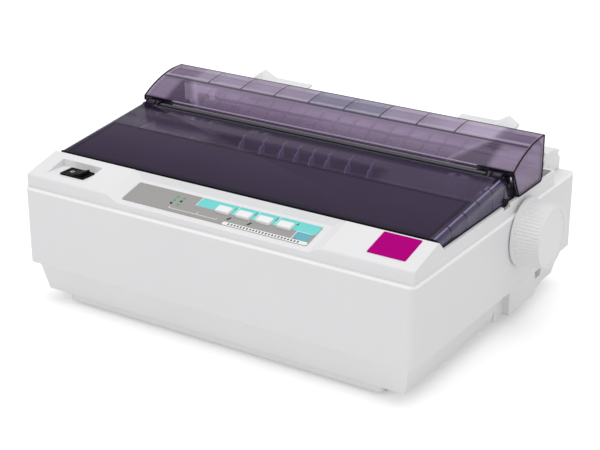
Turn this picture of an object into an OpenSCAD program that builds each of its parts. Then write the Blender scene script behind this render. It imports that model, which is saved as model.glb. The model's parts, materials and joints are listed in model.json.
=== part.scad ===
// Desktop dot matrix printer, 80 columns, with a smoked lid and hood.
// x = 0 is the middle of the case, y = 0 its front face, z = 0 the table.
// Profiles drawn for along_x() are [y, z] points, those for along_y() are [x, z].

/* [Case] */
// Width of the upper case
case_w = 372; // [362:1:382]
// Depth of the upper case
case_d = 285; // [280:1:300]
// Height of the upper case wall, from its bottom edge to the ledge
wall_h = 67.5; // [66:0.5:72]
// Wall thickness of the two case halves
shell_t = 2.5; // [2:0.1:3]
// Radius of the upright corners
corner_r = 6; // [4:0.5:9]
// Radius of the ledge's edge
edge_r = 2; // [1:0.25:2.5]

/* [Raised rim and control deck] */
// Height of the rim above the ledge
rim_h = 12; // [11:0.25:13]
// Ledge left outside the rim at the sides
rim_inset = 2; // [1.5:0.25:3]
// Thickness of the rim wall
rim_t = 2.6; // [2:0.1:3]
// Front of the rim and the deck
rim_front = 3; // [2:0.25:4]
// Back of the rim
rim_back = 247; // [245:0.5:248]
// Height of the deck above the ledge at its front edge
deck_front_h = 11; // [10:0.25:12]
// Slope of the deck in degrees
deck_slope = 14.5; // [13:0.25:15.5]
// Depth of the deck from its front to the lid
deck_d = 38; // [36:0.5:40]
// Depth of the lowered middle of the deck
dip_drop = 5.4; // [4.4:0.2:6]
// Left end of the lowered middle, at the top of its ramp
dip_left = -100; // [-104:1:-98]
// Right end of the lowered middle, at the top of its ramp
dip_right = 105.5; // [104:0.5:110]
// Width of each ramp
ramp_w = 11.5; // [9:0.5:12]

/* [Lower case] */
// Height of the rubber feet
foot_h = 3; // [2:0.25:5]
// Radius of the rubber feet
foot_r = 9; // [7:0.5:11]
// Height of the base step
base_h = 6; // [4:0.5:8]
// Width of the base step
base_w = 309; // [299:1:319]
// Height of the tapered tray
tray_h = 27; // [25:0.5:29]
// Sideways gap between the tray and the upper case's outer face
tray_inset = 6; // [5:0.25:7]
// Inward taper of the tray over its height
tray_taper = 5.5; // [4.5:0.25:7]

/* [Lid and hood] */
// Thickness of the smoked plastic
smoke_t = 2.2; // [1.8:0.1:2.5]
// Height of the hinge rod above the rim
rod_above_rim = 19; // [18:0.25:20]
// Distance of the hinge rod from the case front
rod_y = 158.5; // [157.5:0.25:159.5]
// Radius of the hinge rod
rod_r = 3; // [2.5:0.25:3.25]
// Height of the hood's ridge above the rim
ridge_above_rim = 40.5; // [39:0.25:42]
// Distance of the hood's back edge from the case front
hood_back = 218; // [216:0.5:219]
// Radius of the hood's curved top
hood_curve_r = 100; // [94:1:110]
// Spacing of the hood's cross ribs
hood_rib_pitch = 35.7; // [33:0.1:37]
// Number of the hood's cross ribs
hood_rib_count = 8; // [4:1:8]

/* [Platen and feed] */
// Distance of the platen axis from the case front
platen_y = 184.5; // [183.5:0.5:185.5]
// Height of the platen axis above the upper case's bottom edge
platen_above_case = 47; // [46:0.5:48]
// Radius of the rubber platen
platen_r = 16; // [15.5:0.25:16.25]
// Length of the rubber platen
platen_len = 256; // [240:1:260]
// Radius of the platen shaft
shaft_r = 4; // [3.5:0.25:4.5]
// Radius of the knob's grip
knob_r = 27.5; // [25:0.25:28]
// Radius of the knob's inner collar
knob_collar_r = 29; // [28:0.25:31]
// Length of the knob outside the case
knob_len = 24; // [21:0.5:27]
// Number of flutes on the knob's grip
knob_flutes = 60; // [36:2:72]
// Module of the feed gears
gear_mod = 1.25; // [1.25]
// Width of the feed gears
gear_w = 5; // [4:0.5:6]
// Pitch radius of the tractor's pin wheels
pin_wheel_r = 12; // [12]
// Distance of each tractor from the middle
tractor_x = 102; // [80:1:108]

/* [Carriage] */
// Distance of the guide rod from the case front
guide_rod_y = 140; // [139:0.5:141]
// Height of the guide rod above the chassis pan
guide_rod_up = 43; // [42:0.25:43.5]
// Radius of the guide rod
guide_rod_r = 5; // [4:0.25:5.5]
// Width of the carriage
carriage_w = 60; // [50:1:64]
// Radius of the print head's cooling fins
fin_r = 16.5; // [14:0.5:17]
// Number of cooling fins
fin_count = 7; // [4:1:8]

/* [Controls] */
// Number of push buttons
button_count = 4; // [1:1:4]
// Spacing of the push buttons
button_pitch = 19.2; // [16:0.1:20]
// Width of a push button
button_w = 13; // [10:0.5:14]
// Depth of a push button
button_d = 7.5; // [6:0.5:8]
// Height of a push button above the panel
button_up = 2.6; // [2:0.1:3]
// Travel of a push button
button_travel = 0.8; // [0.5:0.1:1]
// Length of the power rocker
rocker_l = 21; // [18:0.5:22]
// Width of the power rocker
rocker_w = 12.5; // [10:0.5:13]

/* [Clearances] */
// Gap between moving pieces
gap = 0.3; // [0.25:0.05:0.4]
// Radial clearance of a shaft in its bore
run_fit = 0.04; // [0.02:0.01:0.08]

/* [Hidden] */
$fn = 48;
eps = 0.01;

// Levels of the case
z_base = foot_h;
z_tray = z_base + base_h;
z_case = z_tray + tray_h;
z_ledge = z_case + wall_h;
z_rim = z_ledge + rim_h;
z_plate = z_ledge - shell_t;

// Half widths
case_hw = case_w / 2;
rim_hw = case_hw - rim_inset;
bay_hw = rim_hw - 12;
lid_hw = rim_hw - rim_t - 0.4;
frame_t = 2;
frame_x = platen_len / 2 + 18;

// Control deck
deck_back = rim_front + deck_d;
z_deck = z_ledge + deck_front_h;
function deck_z(y) = z_deck + (y - rim_front) * tan(deck_slope);
z_deck_back = deck_z(deck_back);
deck_foot = deck_back + 8.5;
bay_front = deck_foot;
bay_back = rim_back - 11;
dip_back = deck_d / cos(deck_slope) - 5;

// Tray and base step
tray_hw = case_hw - tray_inset;
tray_front = tray_inset;
tray_back = case_d - tray_inset;
base_front = tray_front + tray_taper + 2;
base_back = tray_back - tray_taper - 2;
upright = [platen_y - 26.5, platen_y - 9.5];
slot = [case_d - 57, case_d - 41];
foot_spots = [for (x = [-1, 1], y = [base_front + 24, base_back - 24]) [x * (base_w / 2 - 20), y]];

// Chassis
z_pan = z_tray + shell_t + 2.5;
pan_t = 1.2;
z_floor = z_pan + pan_t;
pan_hw = frame_x + 14;
pan_front = 50;
pan_back = case_d - 23;
pan_lip = 8;

// Hinge rod, lid and hood
rod = [rod_y, z_rim + rod_above_rim];
z_ridge = z_rim + ridge_above_rim;
hood_front = rod_y + rod_r + 0.9;
hood_front_z = rod[1] + 5.5;
hood_pivot_r = 4;
hood_pivot = [hood_back - hood_pivot_r, z_rim + gap + hood_pivot_r];
pin_r = 2.5;
seam_foot = 175;
knuckle_r = rod_r + 1.5;
lid_knuckle_x = 163.5;
knuckle_w = 4;
hood_knuckle_x = lid_knuckle_x + knuckle_w + gap;
rod_half = hood_knuckle_x + 9;
lid_back = rod_y - 3.9;
lid_drop = 2.2;
lid_sill = z_rim + gap;
lid_slope = atan((rod[1] + 2.6 - z_deck_back) / (rod_y - deck_back));

// Platen and gear train; angles are seen along +X, from +Y towards +Z
platen = [platen_y, z_case + platen_above_case];
platen_teeth = 36;
idler_teeth = 28;
pinion_teeth = 12;
tractor_teeth = platen_teeth * pin_wheel_r / platen_r;
gear_x = -frame_x - frame_t - 1.5 - gear_w;
mesh_play = 0.12;
idler_angle = -60;
pinion_angle = -20;
tractor_angle = 4.4;
function polar(r, a) = [r * cos(a), r * sin(a)];
function mesh_distance(a, b) = (a + b) * gear_mod / 2 + 0.05;
idler = platen + polar(mesh_distance(platen_teeth, idler_teeth), idler_angle);
pinion = idler + polar(mesh_distance(idler_teeth, pinion_teeth), pinion_angle);
tractor_teeth_n = round(tractor_teeth);
tractor = platen + polar(mesh_distance(platen_teeth, tractor_teeth_n), tractor_angle);
pinch_r = 6;
pinch_shaft_r = 3;
pinch = platen + polar(platen_r + pinch_r + gap, -110);
knob_x = case_hw + 1;
knob_end = knob_x + knob_len;

// Carriage, belt and ribbon
guide_rod_at = [guide_rod_y, z_floor + guide_rod_up];
rail_y = guide_rod_y - 40;
rail_z = guide_rod_at[1] - 5;
belt_y = guide_rod_y - 18;
belt_span = 128;
pulley_r = 6;
belt_t = 1.2;
belt_h = 5;
belt_z = guide_rod_at[1] - 16;
carriage_bottom = guide_rod_at[1] - 7;
carriage_top = guide_rod_at[1] + 7;
ribbon_y = platen_y - platen_r - 0.7;
ribbon_z = platen[1] - 7;
ribbon_h = 14;
cartridge_front = 60;
cartridge_back = 106;
cartridge_z = platen[1] + 2;
cartridge_h = 17;
cartridge_hw = frame_x - 6.5;

// Paper bail
bail_roller_r = 5;
bail_shaft_r = 2;
bail = platen + polar(platen_r + bail_roller_r + gap, 130);
bail_pivot = [platen_y + 22, platen[1] + 17];
bail_x = frame_x - 5;

// Controls, in the sloped frame of the deck
panel_left = -88;
panel_right = 88.5;
panel_front = 4.5;
panel_depth = 25.4;
panel_t = 0.5;
button_x = 2.8;
button_y = 20.3;
led_spots = [for (x = [-45, -38.3], y = [14.2, 18.9, 23.6]) [x, y]];
led_r = 1.1;
board_drop = 9;
board_t = 1.6;
tact_h = 4;
recess = [-168.5, 10, -126.5, 32];
recess_floor = deck_z(recess[1]);
rocker_at = [-144.5, 20.8];
bezel_h = 1.4;
rocker_tilt = 9;
badge = [139, 9, 171.5, 36];

// Sheet guide and its edge guides
guide_pivot = [case_d - 24, z_ledge + 8.2];
guide_hw = 171;
guide_wall = 2.5;
guide_front = rim_back + 5;
guide_back = case_d - 0.5;
guide_top = z_ledge + 20.5;
guide_floor = z_ledge + 13;
guide_rail = [guide_pivot[0] + 5, guide_pivot[0] + 9];
wing_back = case_d - 4;
wing_z = z_ledge + 33.3;
wing_slope = 10;
ridge_w = 22;
ridge_up = 7;

// The origin is the centre of the footprint, on the table
origin_x = (knob_end - case_hw) / 2;
origin_y = case_d / 2;
module in_frame() translate([-origin_x, -origin_y, 0]) children();

// ---------------------------------------------------------------- helpers

module along_x(x0, x1) translate([x0, 0, 0]) rotate([90, 0, 90]) linear_extrude(x1 - x0) children();
module along_y(y0, y1) translate([0, y1, 0]) rotate([90, 0, 0]) linear_extrude(y1 - y0) children();
module rod_x(x0, x1, at, r) translate([x0, at[0], at[1]]) rotate([0, 90, 0]) cylinder(r = r, h = x1 - x0);
module both_sides() { children(); mirror([1, 0, 0]) children(); }
module box(x0, y0, z0, x1, y1, z1) translate([x0, y0, z0]) cube([x1 - x0, y1 - y0, z1 - z0]);
module on_deck(drop = 0) translate([0, rim_front, z_deck]) rotate([deck_slope, 0, 0])
    translate([0, 0, -drop]) children();
function arc(c, r, a0, a1, n) = [for (i = [0:n]) c + polar(r, a0 + (a1 - a0) * i / n)];

// Rectangle with round corners
module round_rect(x0, y0, x1, y1, r) {
    translate([x0 + r, y0]) square([x1 - x0 - 2 * r, y1 - y0]);
    translate([x0, y0 + r]) square([x1 - x0, y1 - y0 - 2 * r]);
    for (x = [x0 + r, x1 - r], y = [y0 + r, y1 - r]) translate([x, y]) circle(r);
}

// Outline of a block seen from one side, with its two top corners rounded
module dome_outline(a, b, low, high, r) {
    polygon(concat([[a, low]], arc([a + r, high - r], r, 180, 90, 5),
        arc([b - r, high - r], r, 90, 0, 5), [[b, low]]));
}

// Block with round upright corners and a round top edge
module soft_block(hw, y0, y1, z0, z1, r_plan, r_top) intersection() {
    translate([0, 0, z0]) linear_extrude(z1 - z0) round_rect(-hw, y0, hw, y1, r_plan);
    along_y(y0 - 1, y1 + 1) dome_outline(-hw, hw, z0 - 1, z1, r_top);
    along_x(-hw - 1, hw + 1) dome_outline(y0, y1, z0 - 1, z1, r_top);
}

// Block that narrows downwards on all four sides by the same amount
module taper_block(hw, y0, y1, z0, z1, inward) intersection() {
    along_y(y0 - 1, y1 + 1) polygon([[-hw, z1], [hw, z1], [hw - inward, z0], [-hw + inward, z0]]);
    along_x(-hw - 1, hw + 1) polygon([[y0, z1], [y1, z1], [y1 - inward, z0], [y0 + inward, z0]]);
}

// Involute gear outline with a tooth centred at the angle phase
function inv(a) = tan(a) * 180 / PI - a;
function half_tooth(teeth, rho) = let (r = teeth * gear_mod / 2, rb = r * cos(20))
    90 / teeth - mesh_play / r * 90 / PI + inv(20) - inv(rho > rb ? acos(rb / rho) : 0);
module gear_outline(teeth, phase) {
    r = teeth * gear_mod / 2;
    steps = [r - 1.2 * gear_mod, r - 0.4 * gear_mod, r + 0.3 * gear_mod, r + 0.95 * gear_mod];
    polygon([for (i = [0:teeth - 1]) let (c = phase + 360 * i / teeth) each concat(
        [for (s = [0:3]) polar(steps[s], c - half_tooth(teeth, steps[s]))],
        [for (s = [3:-1:0]) polar(steps[s], c + half_tooth(teeth, steps[s]))])]);
}
function mesh_phase(angle, phase, teeth, next) =
    angle + 180 - (0.5 - (angle - phase) * teeth / 360) * 360 / next;
platen_phase = 0;
idler_phase = mesh_phase(idler_angle, platen_phase, platen_teeth, idler_teeth);
pinion_phase = mesh_phase(pinion_angle, idler_phase, idler_teeth, pinion_teeth);
tractor_phase = mesh_phase(tractor_angle, platen_phase, platen_teeth, tractor_teeth_n);

// Spur gear at a place in the feed train, with round lightening holes and a hub
module feed_gear(at, teeth, phase, bore, hub) difference() {
    union() {
        translate([gear_x, at[0], at[1]]) along_x(0, gear_w) gear_outline(teeth, phase);
        rod_x(gear_x - 1, gear_x + gear_w + 1, at, hub);
    }
    rod_x(gear_x - 2, gear_x + gear_w + 2, at, bore);
    if (teeth > 20) for (a = [0:60:300])
        rod_x(gear_x - 2, gear_x + gear_w + 2, at + polar(teeth * gear_mod * 0.32, a + 30), teeth * 0.09);
}

// ---------------------------------------------------------------- case

// Volume above the lowered middle of the deck; grow moves its sides and floor outwards
module dip(grow) on_deck() intersection() {
    run = ramp_w / dip_drop;
    along_y(-8, deck_d + 10) polygon([
        [dip_left - grow - 4 * run, 4], [dip_left + ramp_w - grow, -dip_drop - grow],
        [dip_right - ramp_w + grow, -dip_drop - grow], [dip_right + grow + 4 * run, 4]]);
    along_x(dip_left - 30, dip_right + 30) polygon([[-7, 4], [-7, -dip_drop - grow],
        [dip_back + grow, -dip_drop - grow], [dip_back + dip_drop + 4 + grow, 4]]);
}

// Outer body of the control deck
module deck_body() along_x(-rim_hw, rim_hw) polygon(concat(
    [[rim_front, z_ledge - eps]],
    arc([rim_front + 2, deck_z(rim_front + 2) - 2 / cos(deck_slope)], 2, 180, 90 + deck_slope, 4),
    arc([deck_back - 1.5, deck_z(deck_back - 1.5) - 1.5 / cos(deck_slope)], 1.5, 90 + deck_slope, 45, 3),
    [[deck_foot, z_rim - 1], [deck_foot, z_ledge - eps]]));

// Hollow of the control deck
module deck_hollow() difference() {
    along_x(-rim_hw + rim_t, rim_hw - rim_t) polygon([
        [rim_front + shell_t, z_plate - 1], [rim_front + shell_t, z_deck - shell_t],
        [deck_back - 2, z_deck_back - shell_t - 1.2], [deck_foot - shell_t, z_rim - 2.5],
        [deck_foot - shell_t, z_plate - 1]]);
    dip(shell_t);
    box(recess[0] - shell_t, recess[1] - shell_t, recess_floor - shell_t,
        recess[2] + shell_t, recess[3] + shell_t, z_deck_back + 5);
}

// Wall of the rim round the bay, with its throat for the paper at the back
module rim() difference() {
    translate([0, 0, z_ledge - eps]) linear_extrude(rim_h + eps) difference() {
        round_rect(-rim_hw, rim_front + 8, rim_hw, rim_back, 3);
        round_rect(-rim_hw + rim_t, rim_front + 8 + rim_t, rim_hw - rim_t, rim_back - rim_t, 2);
    }
    box(-135, rim_back - 4, z_ledge + 2, 135, rim_back + 1, z_rim + 1);
    box(-rim_hw - 1, rim_front, z_ledge - 1, rim_hw + 1, deck_back - 2, z_rim + 1);
}

// Ears that carry the hood's pins
module hood_ears() both_sides() difference() {
    along_x(bay_hw + 3, bay_hw + 6) polygon([
        [hood_pivot[0] - 7, z_plate], [hood_pivot[0] - 4, hood_pivot[1] + 4],
        [hood_pivot[0] + 2, hood_pivot[1] + 4], [hood_pivot[0] + 7, z_plate]]);
    rod_x(bay_hw, bay_hw + 9, hood_pivot, pin_r + run_fit);
}

// Ears that carry the sheet guide's pins
module guide_ears() both_sides() difference() {
    along_x(guide_hw - 8, guide_hw - 4.5) union() {
        polygon([[guide_pivot[0] - 6, z_plate], [guide_pivot[0] - 3, guide_pivot[1] + 1],
            [guide_pivot[0] + 3, guide_pivot[1] + 1], [guide_pivot[0] + 6, z_plate]]);
        translate(guide_pivot) circle(3.4);
    }
    rod_x(guide_hw - 9, guide_hw - 3, guide_pivot, 2 + run_fit);
}

// Louvres of the left wall
louvre_count = 10;
louvre_y = 110;
louvre_pitch = 9;
louvre_w = 4;

// Posts under the deck that carry the panel board
board_posts = [for (x = [panel_left + 6, panel_right - 6]) x];

module upper_case() color("whitesmoke") difference() {
    union() {
        difference() {
            soft_block(case_hw, 0, case_d, z_case, z_ledge, corner_r, edge_r);
            translate([0, 0, z_case - 1]) linear_extrude(wall_h - shell_t + 1) round_rect(
                -case_hw + shell_t, shell_t, case_hw - shell_t, case_d - shell_t, corner_r - shell_t);
        }
        difference() {
            deck_body();
            difference() {
                deck_hollow();
                on_deck(dip_drop + shell_t) for (x = board_posts)
                    translate([x, 16, -board_drop + shell_t]) cylinder(r = 3, h = board_drop + 4);
            }
            dip(0);
        }
        rim();
        hood_ears();
        guide_ears();
    }
    // bay for the mechanism, and the space under the deck
    translate([0, 0, z_plate - 1]) linear_extrude(shell_t + 2) {
        round_rect(-bay_hw, bay_front, bay_hw, bay_back, 4);
        translate([-rim_hw + 8, rim_front + shell_t]) square([2 * rim_hw - 16, deck_d + 3]);
    }
    // recess and hole of the power switch
    box(recess[0], recess[1], recess_floor, recess[2], recess[3], z_deck_back + 5);
    box(rocker_at[0] - rocker_l / 2 - 1, rocker_at[1] - rocker_w / 2 - 1, recess_floor - 9,
        rocker_at[0] + rocker_l / 2 + 1, rocker_at[1] + rocker_w / 2 + 1, recess_floor + 1);
    // holes of the buttons and lamps
    on_deck(dip_drop) {
        for (i = [0:button_count - 1]) translate([button_x + i * button_pitch, button_y, -2])
            cube([button_w + 2 * gap, button_d + 2 * gap, 6], center = true);
        for (p = led_spots) translate([p[0], p[1], -5]) cylinder(r = led_r + 0.1, h = 8);
    }
    // knob shaft, lid lugs and the release lever's slot
    rod_x(case_hw - 5, case_hw + 1, platen, shaft_r + 6);
    both_sides() box(lid_hw - 1, rod_y - 11, z_rim - 3.2, rim_hw + 1, rod_y + 1, z_rim + 1);
    box(-bay_hw - 3.6, 222, z_plate - 1, -bay_hw + 1, 240, z_ledge + 1);
    // louvres in the left wall
    for (i = [0:louvre_count - 1]) let (y = louvre_y + i * louvre_pitch)
        box(-case_hw - 1, y, z_case + 12, -case_hw + shell_t + 1, y + louvre_w, z_case + 40);
    // opening for the sockets in the back wall
    box(-140, case_d - shell_t - 1, z_case - 1, -80, case_d + 1, z_case + 20);
    box(70, case_d - shell_t - 1, z_case - 1, 112, case_d + 1, z_case + 30);
}

// Screw bosses of the lower case and the pan bosses, as [x, y]
screw_spots = [for (x = [-1, 1], y = [base_front + 12, base_back - 12]) [x * (base_w / 2 - 45), y]];
pan_spots = [for (x = [-140, -30, 30, 140], y = [pan_front + 8, pan_back - 8]) [x, y]];

module lower_case() color("gainsboro") difference() {
    union() {
        difference() {
            union() {
                taper_block(tray_hw, tray_front, tray_back, z_tray, z_case + eps, tray_taper);
                translate([0, 0, z_base]) linear_extrude(base_h + eps)
                    round_rect(-base_w / 2, base_front, base_w / 2, base_back, 4);
                translate([0, 0, z_case]) linear_extrude(8)
                    round_rect(-case_hw + shell_t + gap, shell_t + gap, case_hw - shell_t - gap,
                        case_d - shell_t - gap, 3);
                // straight box in the right wall, behind the recessed upright
                box(case_hw - 20, upright[1], z_tray, case_hw - 5, slot[0] - 4, z_case);
            }
            taper_block(tray_hw - shell_t, tray_front + shell_t, tray_back - shell_t,
                z_tray + shell_t, z_case + 1, tray_taper);
            translate([0, 0, z_base + shell_t]) linear_extrude(base_h + 2)
                round_rect(-base_w / 2 + shell_t, base_front + shell_t, base_w / 2 - shell_t,
                    base_back - shell_t, 2);
            translate([0, 0, z_case - 1]) linear_extrude(12)
                round_rect(-tray_hw + shell_t, tray_front + shell_t, tray_hw - shell_t,
                    tray_back - shell_t, 2);
        }
        // backs of the upright and of the slot in the right wall
        box(case_hw - 20, upright[0] - shell_t, z_tray + 1, case_hw - 9, slot[1] + shell_t, z_case);
        for (p = pan_spots) translate([p[0], p[1], z_base + 1]) cylinder(r = 4, h = z_pan - z_base - 1);
        for (p = screw_spots) translate([p[0], p[1], z_base + 1]) cylinder(r = 5, h = 8);
    }
    // recessed upright and dark slot in the right wall
    box(case_hw - 11, upright[0], z_tray - 1, case_hw, upright[1], z_case - 2);
    box(case_hw - 18, slot[0], z_case - 17, case_hw, slot[1], z_case - 4);
    for (p = screw_spots) translate([p[0], p[1], z_base - 1]) {
        cylinder(r = 4, h = 4);
        cylinder(r = 1.7, h = 14);
    }
    // rows of vents in the floor
    for (row = [0:1], i = [0:13]) translate([-104 + i * 15, 90 + row * 90, z_base - 1])
        cube([6, 40, shell_t + 2]);
}

module rubber_feet() color("dimgray") for (p = foot_spots) translate([p[0], p[1], 0])
    rotate_extrude() polygon([[0, 0], [foot_r - 1, 0], [foot_r, 1], [foot_r, z_base], [0, z_base]]);

module case_screws() color("silver") for (p = screw_spots) translate([p[0], p[1], z_base + 0.6]) {
    difference() {
        cylinder(r = 3.2, h = 2.4);
        for (a = [0, 90]) rotate(a) translate([0, 0, 0.4]) cube([4, 0.8, 1.4], center = true);
    }
    translate([0, 0, 2.4]) cylinder(r = 1.6, h = 7.4);
}

// ---------------------------------------------------------------- controls

module panel_overlay() color("darkgray") on_deck(dip_drop) difference() {
    linear_extrude(panel_t)
        round_rect(panel_left, panel_front, panel_right, panel_front + panel_depth, 1.5);
    for (i = [0:button_count - 1]) translate([button_x + i * button_pitch, button_y, 0])
        cube([button_w + 2 * gap, button_d + 2 * gap, 4], center = true);
    for (p = led_spots) translate([p[0], p[1], -1]) cylinder(r = led_r + 0.1, h = 4);
}

module badge_plate() color("mediumvioletred") on_deck() linear_extrude(panel_t)
    round_rect(badge[0], badge[1], badge[2], badge[3], 0.8);

module indicator_leds() color("limegreen") on_deck(dip_drop) for (p = led_spots)
    translate([p[0], p[1], 0]) {
        translate([0, 0, -board_drop]) cylinder(r = led_r, h = board_drop + panel_t + 0.4);
        translate([0, 0, -board_drop]) cylinder(r = 1.6, h = 1.5);
    }

module push_button(i) color("white") on_deck(dip_drop)
translate([button_x + i * button_pitch, button_y, 0]) {
    top = panel_t + button_up;
    intersection() {
        along_y(-button_d / 2, button_d / 2)
            dome_outline(-button_w / 2, button_w / 2, -shell_t - 0.5, top, 1);
        along_x(-button_w / 2, button_w / 2)
            dome_outline(-button_d / 2, button_d / 2, -shell_t - 0.5, top, 1);
    }
    translate([0, 0, -shell_t - 1.5]) linear_extrude(1.2)
        square([button_w + 3, button_d + 3], center = true);
    translate([0, 0, -board_drop + tact_h + gap]) cylinder(r = 2, h = board_drop - tact_h - 2.5);
}
module button_1() push_button(0);
module button_2() push_button(1);
module button_3() push_button(2);
module button_4() push_button(3);

module panel_board() color("darkgreen") on_deck(dip_drop) difference() {
    union() {
        translate([panel_left + 1, 5, -board_drop - board_t])
            cube([panel_right - panel_left - 2, 27, board_t]);
        for (i = [0:button_count - 1]) translate([button_x + i * button_pitch, button_y, -board_drop]) {
            translate([-3, -3, 0]) cube([6, 6, tact_h - 1.5]);
            cylinder(r = 1.7, h = tact_h - button_travel - eps);
        }
    }
    for (x = board_posts) translate([x, 16, -board_drop - 3]) cylinder(r = 1.5, h = 5);
}

module switch_housing() color("black") difference() {
    union() {
        translate([0, 0, recess_floor]) linear_extrude(bezel_h) round_rect(
            rocker_at[0] - rocker_l / 2 - 2, rocker_at[1] - rocker_w / 2 - 1.6,
            rocker_at[0] + rocker_l / 2 + 2, rocker_at[1] + rocker_w / 2 + 1.6, 1);
        box(rocker_at[0] - rocker_l / 2 - 0.8, rocker_at[1] - rocker_w / 2 - 0.8, recess_floor - 16,
            rocker_at[0] + rocker_l / 2 + 0.8, rocker_at[1] + rocker_w / 2 + 0.8, recess_floor + 0.1);
    }
    box(rocker_at[0] - rocker_l / 2, rocker_at[1] - rocker_w / 2, recess_floor - 8,
        rocker_at[0] + rocker_l / 2, rocker_at[1] + rocker_w / 2, recess_floor + 3);
    translate([rocker_at[0], rocker_at[1], recess_floor - 2]) rotate([90, 0, 0])
        cylinder(r = 1.2 + run_fit, h = rocker_w + 1.2, center = true);
}

// The rocker lies with its left end pressed
module rocker() color("black")
translate([rocker_at[0], rocker_at[1], recess_floor - 2]) rotate([0, -rocker_tilt, 0]) {
    half = rocker_l / 2 - 1.2;
    along_y(-rocker_w / 2 + gap, rocker_w / 2 - gap) polygon([
        [-half, 1], [-half, 4.6], [0, 3.4], [half, 4.6], [half, 1], [2, -3.4], [-2, -3.4]]);
    rotate([90, 0, 0]) cylinder(r = 1.2, h = rocker_w + 0.9, center = true);
}

// ---------------------------------------------------------------- lid and hood

// Outer top line of the lid at the distance y from the case front
function lid_top(y) = z_deck_back + (y - deck_back) * tan(lid_slope);
function rib_root(y) = lid_top(y) - smoke_t + 0.3;
function rib_foot(y) = lid_top(y) - smoke_t - 1.4;
lid_rib_at = [for (share = [0.42, 0.61, 0.81]) deck_back + share * (lid_back - deck_back)];
lid_cross_rib = lid_rib_at[1] - 2.3;
lid_frame = 9;

module front_lid() color([0.32, 0.27, 0.42, 0.75]) difference() {
    union() {
        // top sheet with its front lip and round shoulders
        difference() {
            intersection() {
                along_x(-lid_hw, lid_hw) polygon([
                    [deck_back + 0.8, lid_top(deck_back)], [lid_back, lid_top(lid_back)],
                    [lid_back, lid_top(lid_back) - lid_drop], [seam_foot - 4, lid_sill + 0.7],
                    [seam_foot - 4.5, lid_sill], [deck_foot - 0.3, lid_sill]]);
                along_y(deck_back - 5, seam_foot + 5)
                    dome_outline(-lid_hw, lid_hw, z_rim - 5, rod[1] + 30, 3);
                translate([0, deck_back, z_deck_back]) rotate([lid_slope, 0, 0])
                    along_y(-10, seam_foot) dome_outline(-lid_hw, lid_hw, -40, 0, 4);
            }
            along_x(-lid_hw + smoke_t, lid_hw - smoke_t) polygon([
                [deck_back + 0.8 + 2 * smoke_t, lid_top(deck_back + 2 * smoke_t) - smoke_t],
                [seam_foot + 5, lid_top(seam_foot + 5) - smoke_t],
                [seam_foot + 5, z_rim - 6], [deck_foot + 7, z_rim - 6]]);
        }
        // stiffening ribs under the sheet and inside the end walls
        both_sides() for (y = lid_rib_at) along_y(y - 0.5, y + 0.5) polygon([
            [lid_hw - smoke_t + eps, lid_sill + 0.2], [lid_hw - lid_frame, rib_foot(y)],
            [lid_hw - lid_frame, rib_root(y)], [lid_hw - smoke_t + eps, rib_root(y)]]);
        along_x(-lid_hw + lid_frame, lid_hw - lid_frame) polygon([
            [lid_cross_rib, rib_foot(lid_cross_rib)], [lid_cross_rib + 1.2, rib_foot(lid_cross_rib + 1)],
            [lid_cross_rib + 1.2, rib_root(lid_cross_rib + 1)], [lid_cross_rib, rib_root(lid_cross_rib)]]);
        // knuckles on the hinge rod, and the lugs that sit in the rim's notches
        both_sides() {
            rod_x(lid_knuckle_x, lid_knuckle_x + knuckle_w, rod, knuckle_r);
            along_x(lid_knuckle_x, lid_knuckle_x + knuckle_w) polygon([
                [lid_back - 3, lid_top(lid_back - 3) - 0.4], [rod_y, rod[1] + knuckle_r - 0.3],
                [rod_y, rod[1] - knuckle_r], [lid_back - 3, lid_top(lid_back) - 4.5]]);
            rod_x(lid_hw - 0.5, rim_hw - 0.4, [rod_y - 5, z_rim + 2.6], 2);
        }
    }
    both_sides() {
        rod_x(lid_knuckle_x - 1, lid_knuckle_x + knuckle_w + 1, rod, rod_r + run_fit);
        rod_x(hood_knuckle_x - gap, rod_half + gap, rod, knuckle_r + gap);
    }
}

// Top arc of the hood from its front edge to the ridge, moved inwards by t
hood_chord = [hood_back - hood_front, z_ridge - 0.5 - hood_front_z];
hood_chord_angle = atan(hood_chord[1] / hood_chord[0]);
hood_half_angle = asin(norm(hood_chord) / 2 / hood_curve_r);
hood_centre = [hood_front, hood_front_z] + hood_chord / 2
    + polar(hood_curve_r * cos(hood_half_angle), hood_chord_angle - 90);
function hood_arc(t) = arc(hood_centre, hood_curve_r - t, hood_chord_angle + 90 + hood_half_angle,
    hood_chord_angle + 90 - hood_half_angle, 10);
function hood_z(y) = hood_centre[1] + sqrt(pow(hood_curve_r, 2) - pow(y - hood_centre[0], 2));

hood_rib_y = 197;

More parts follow.
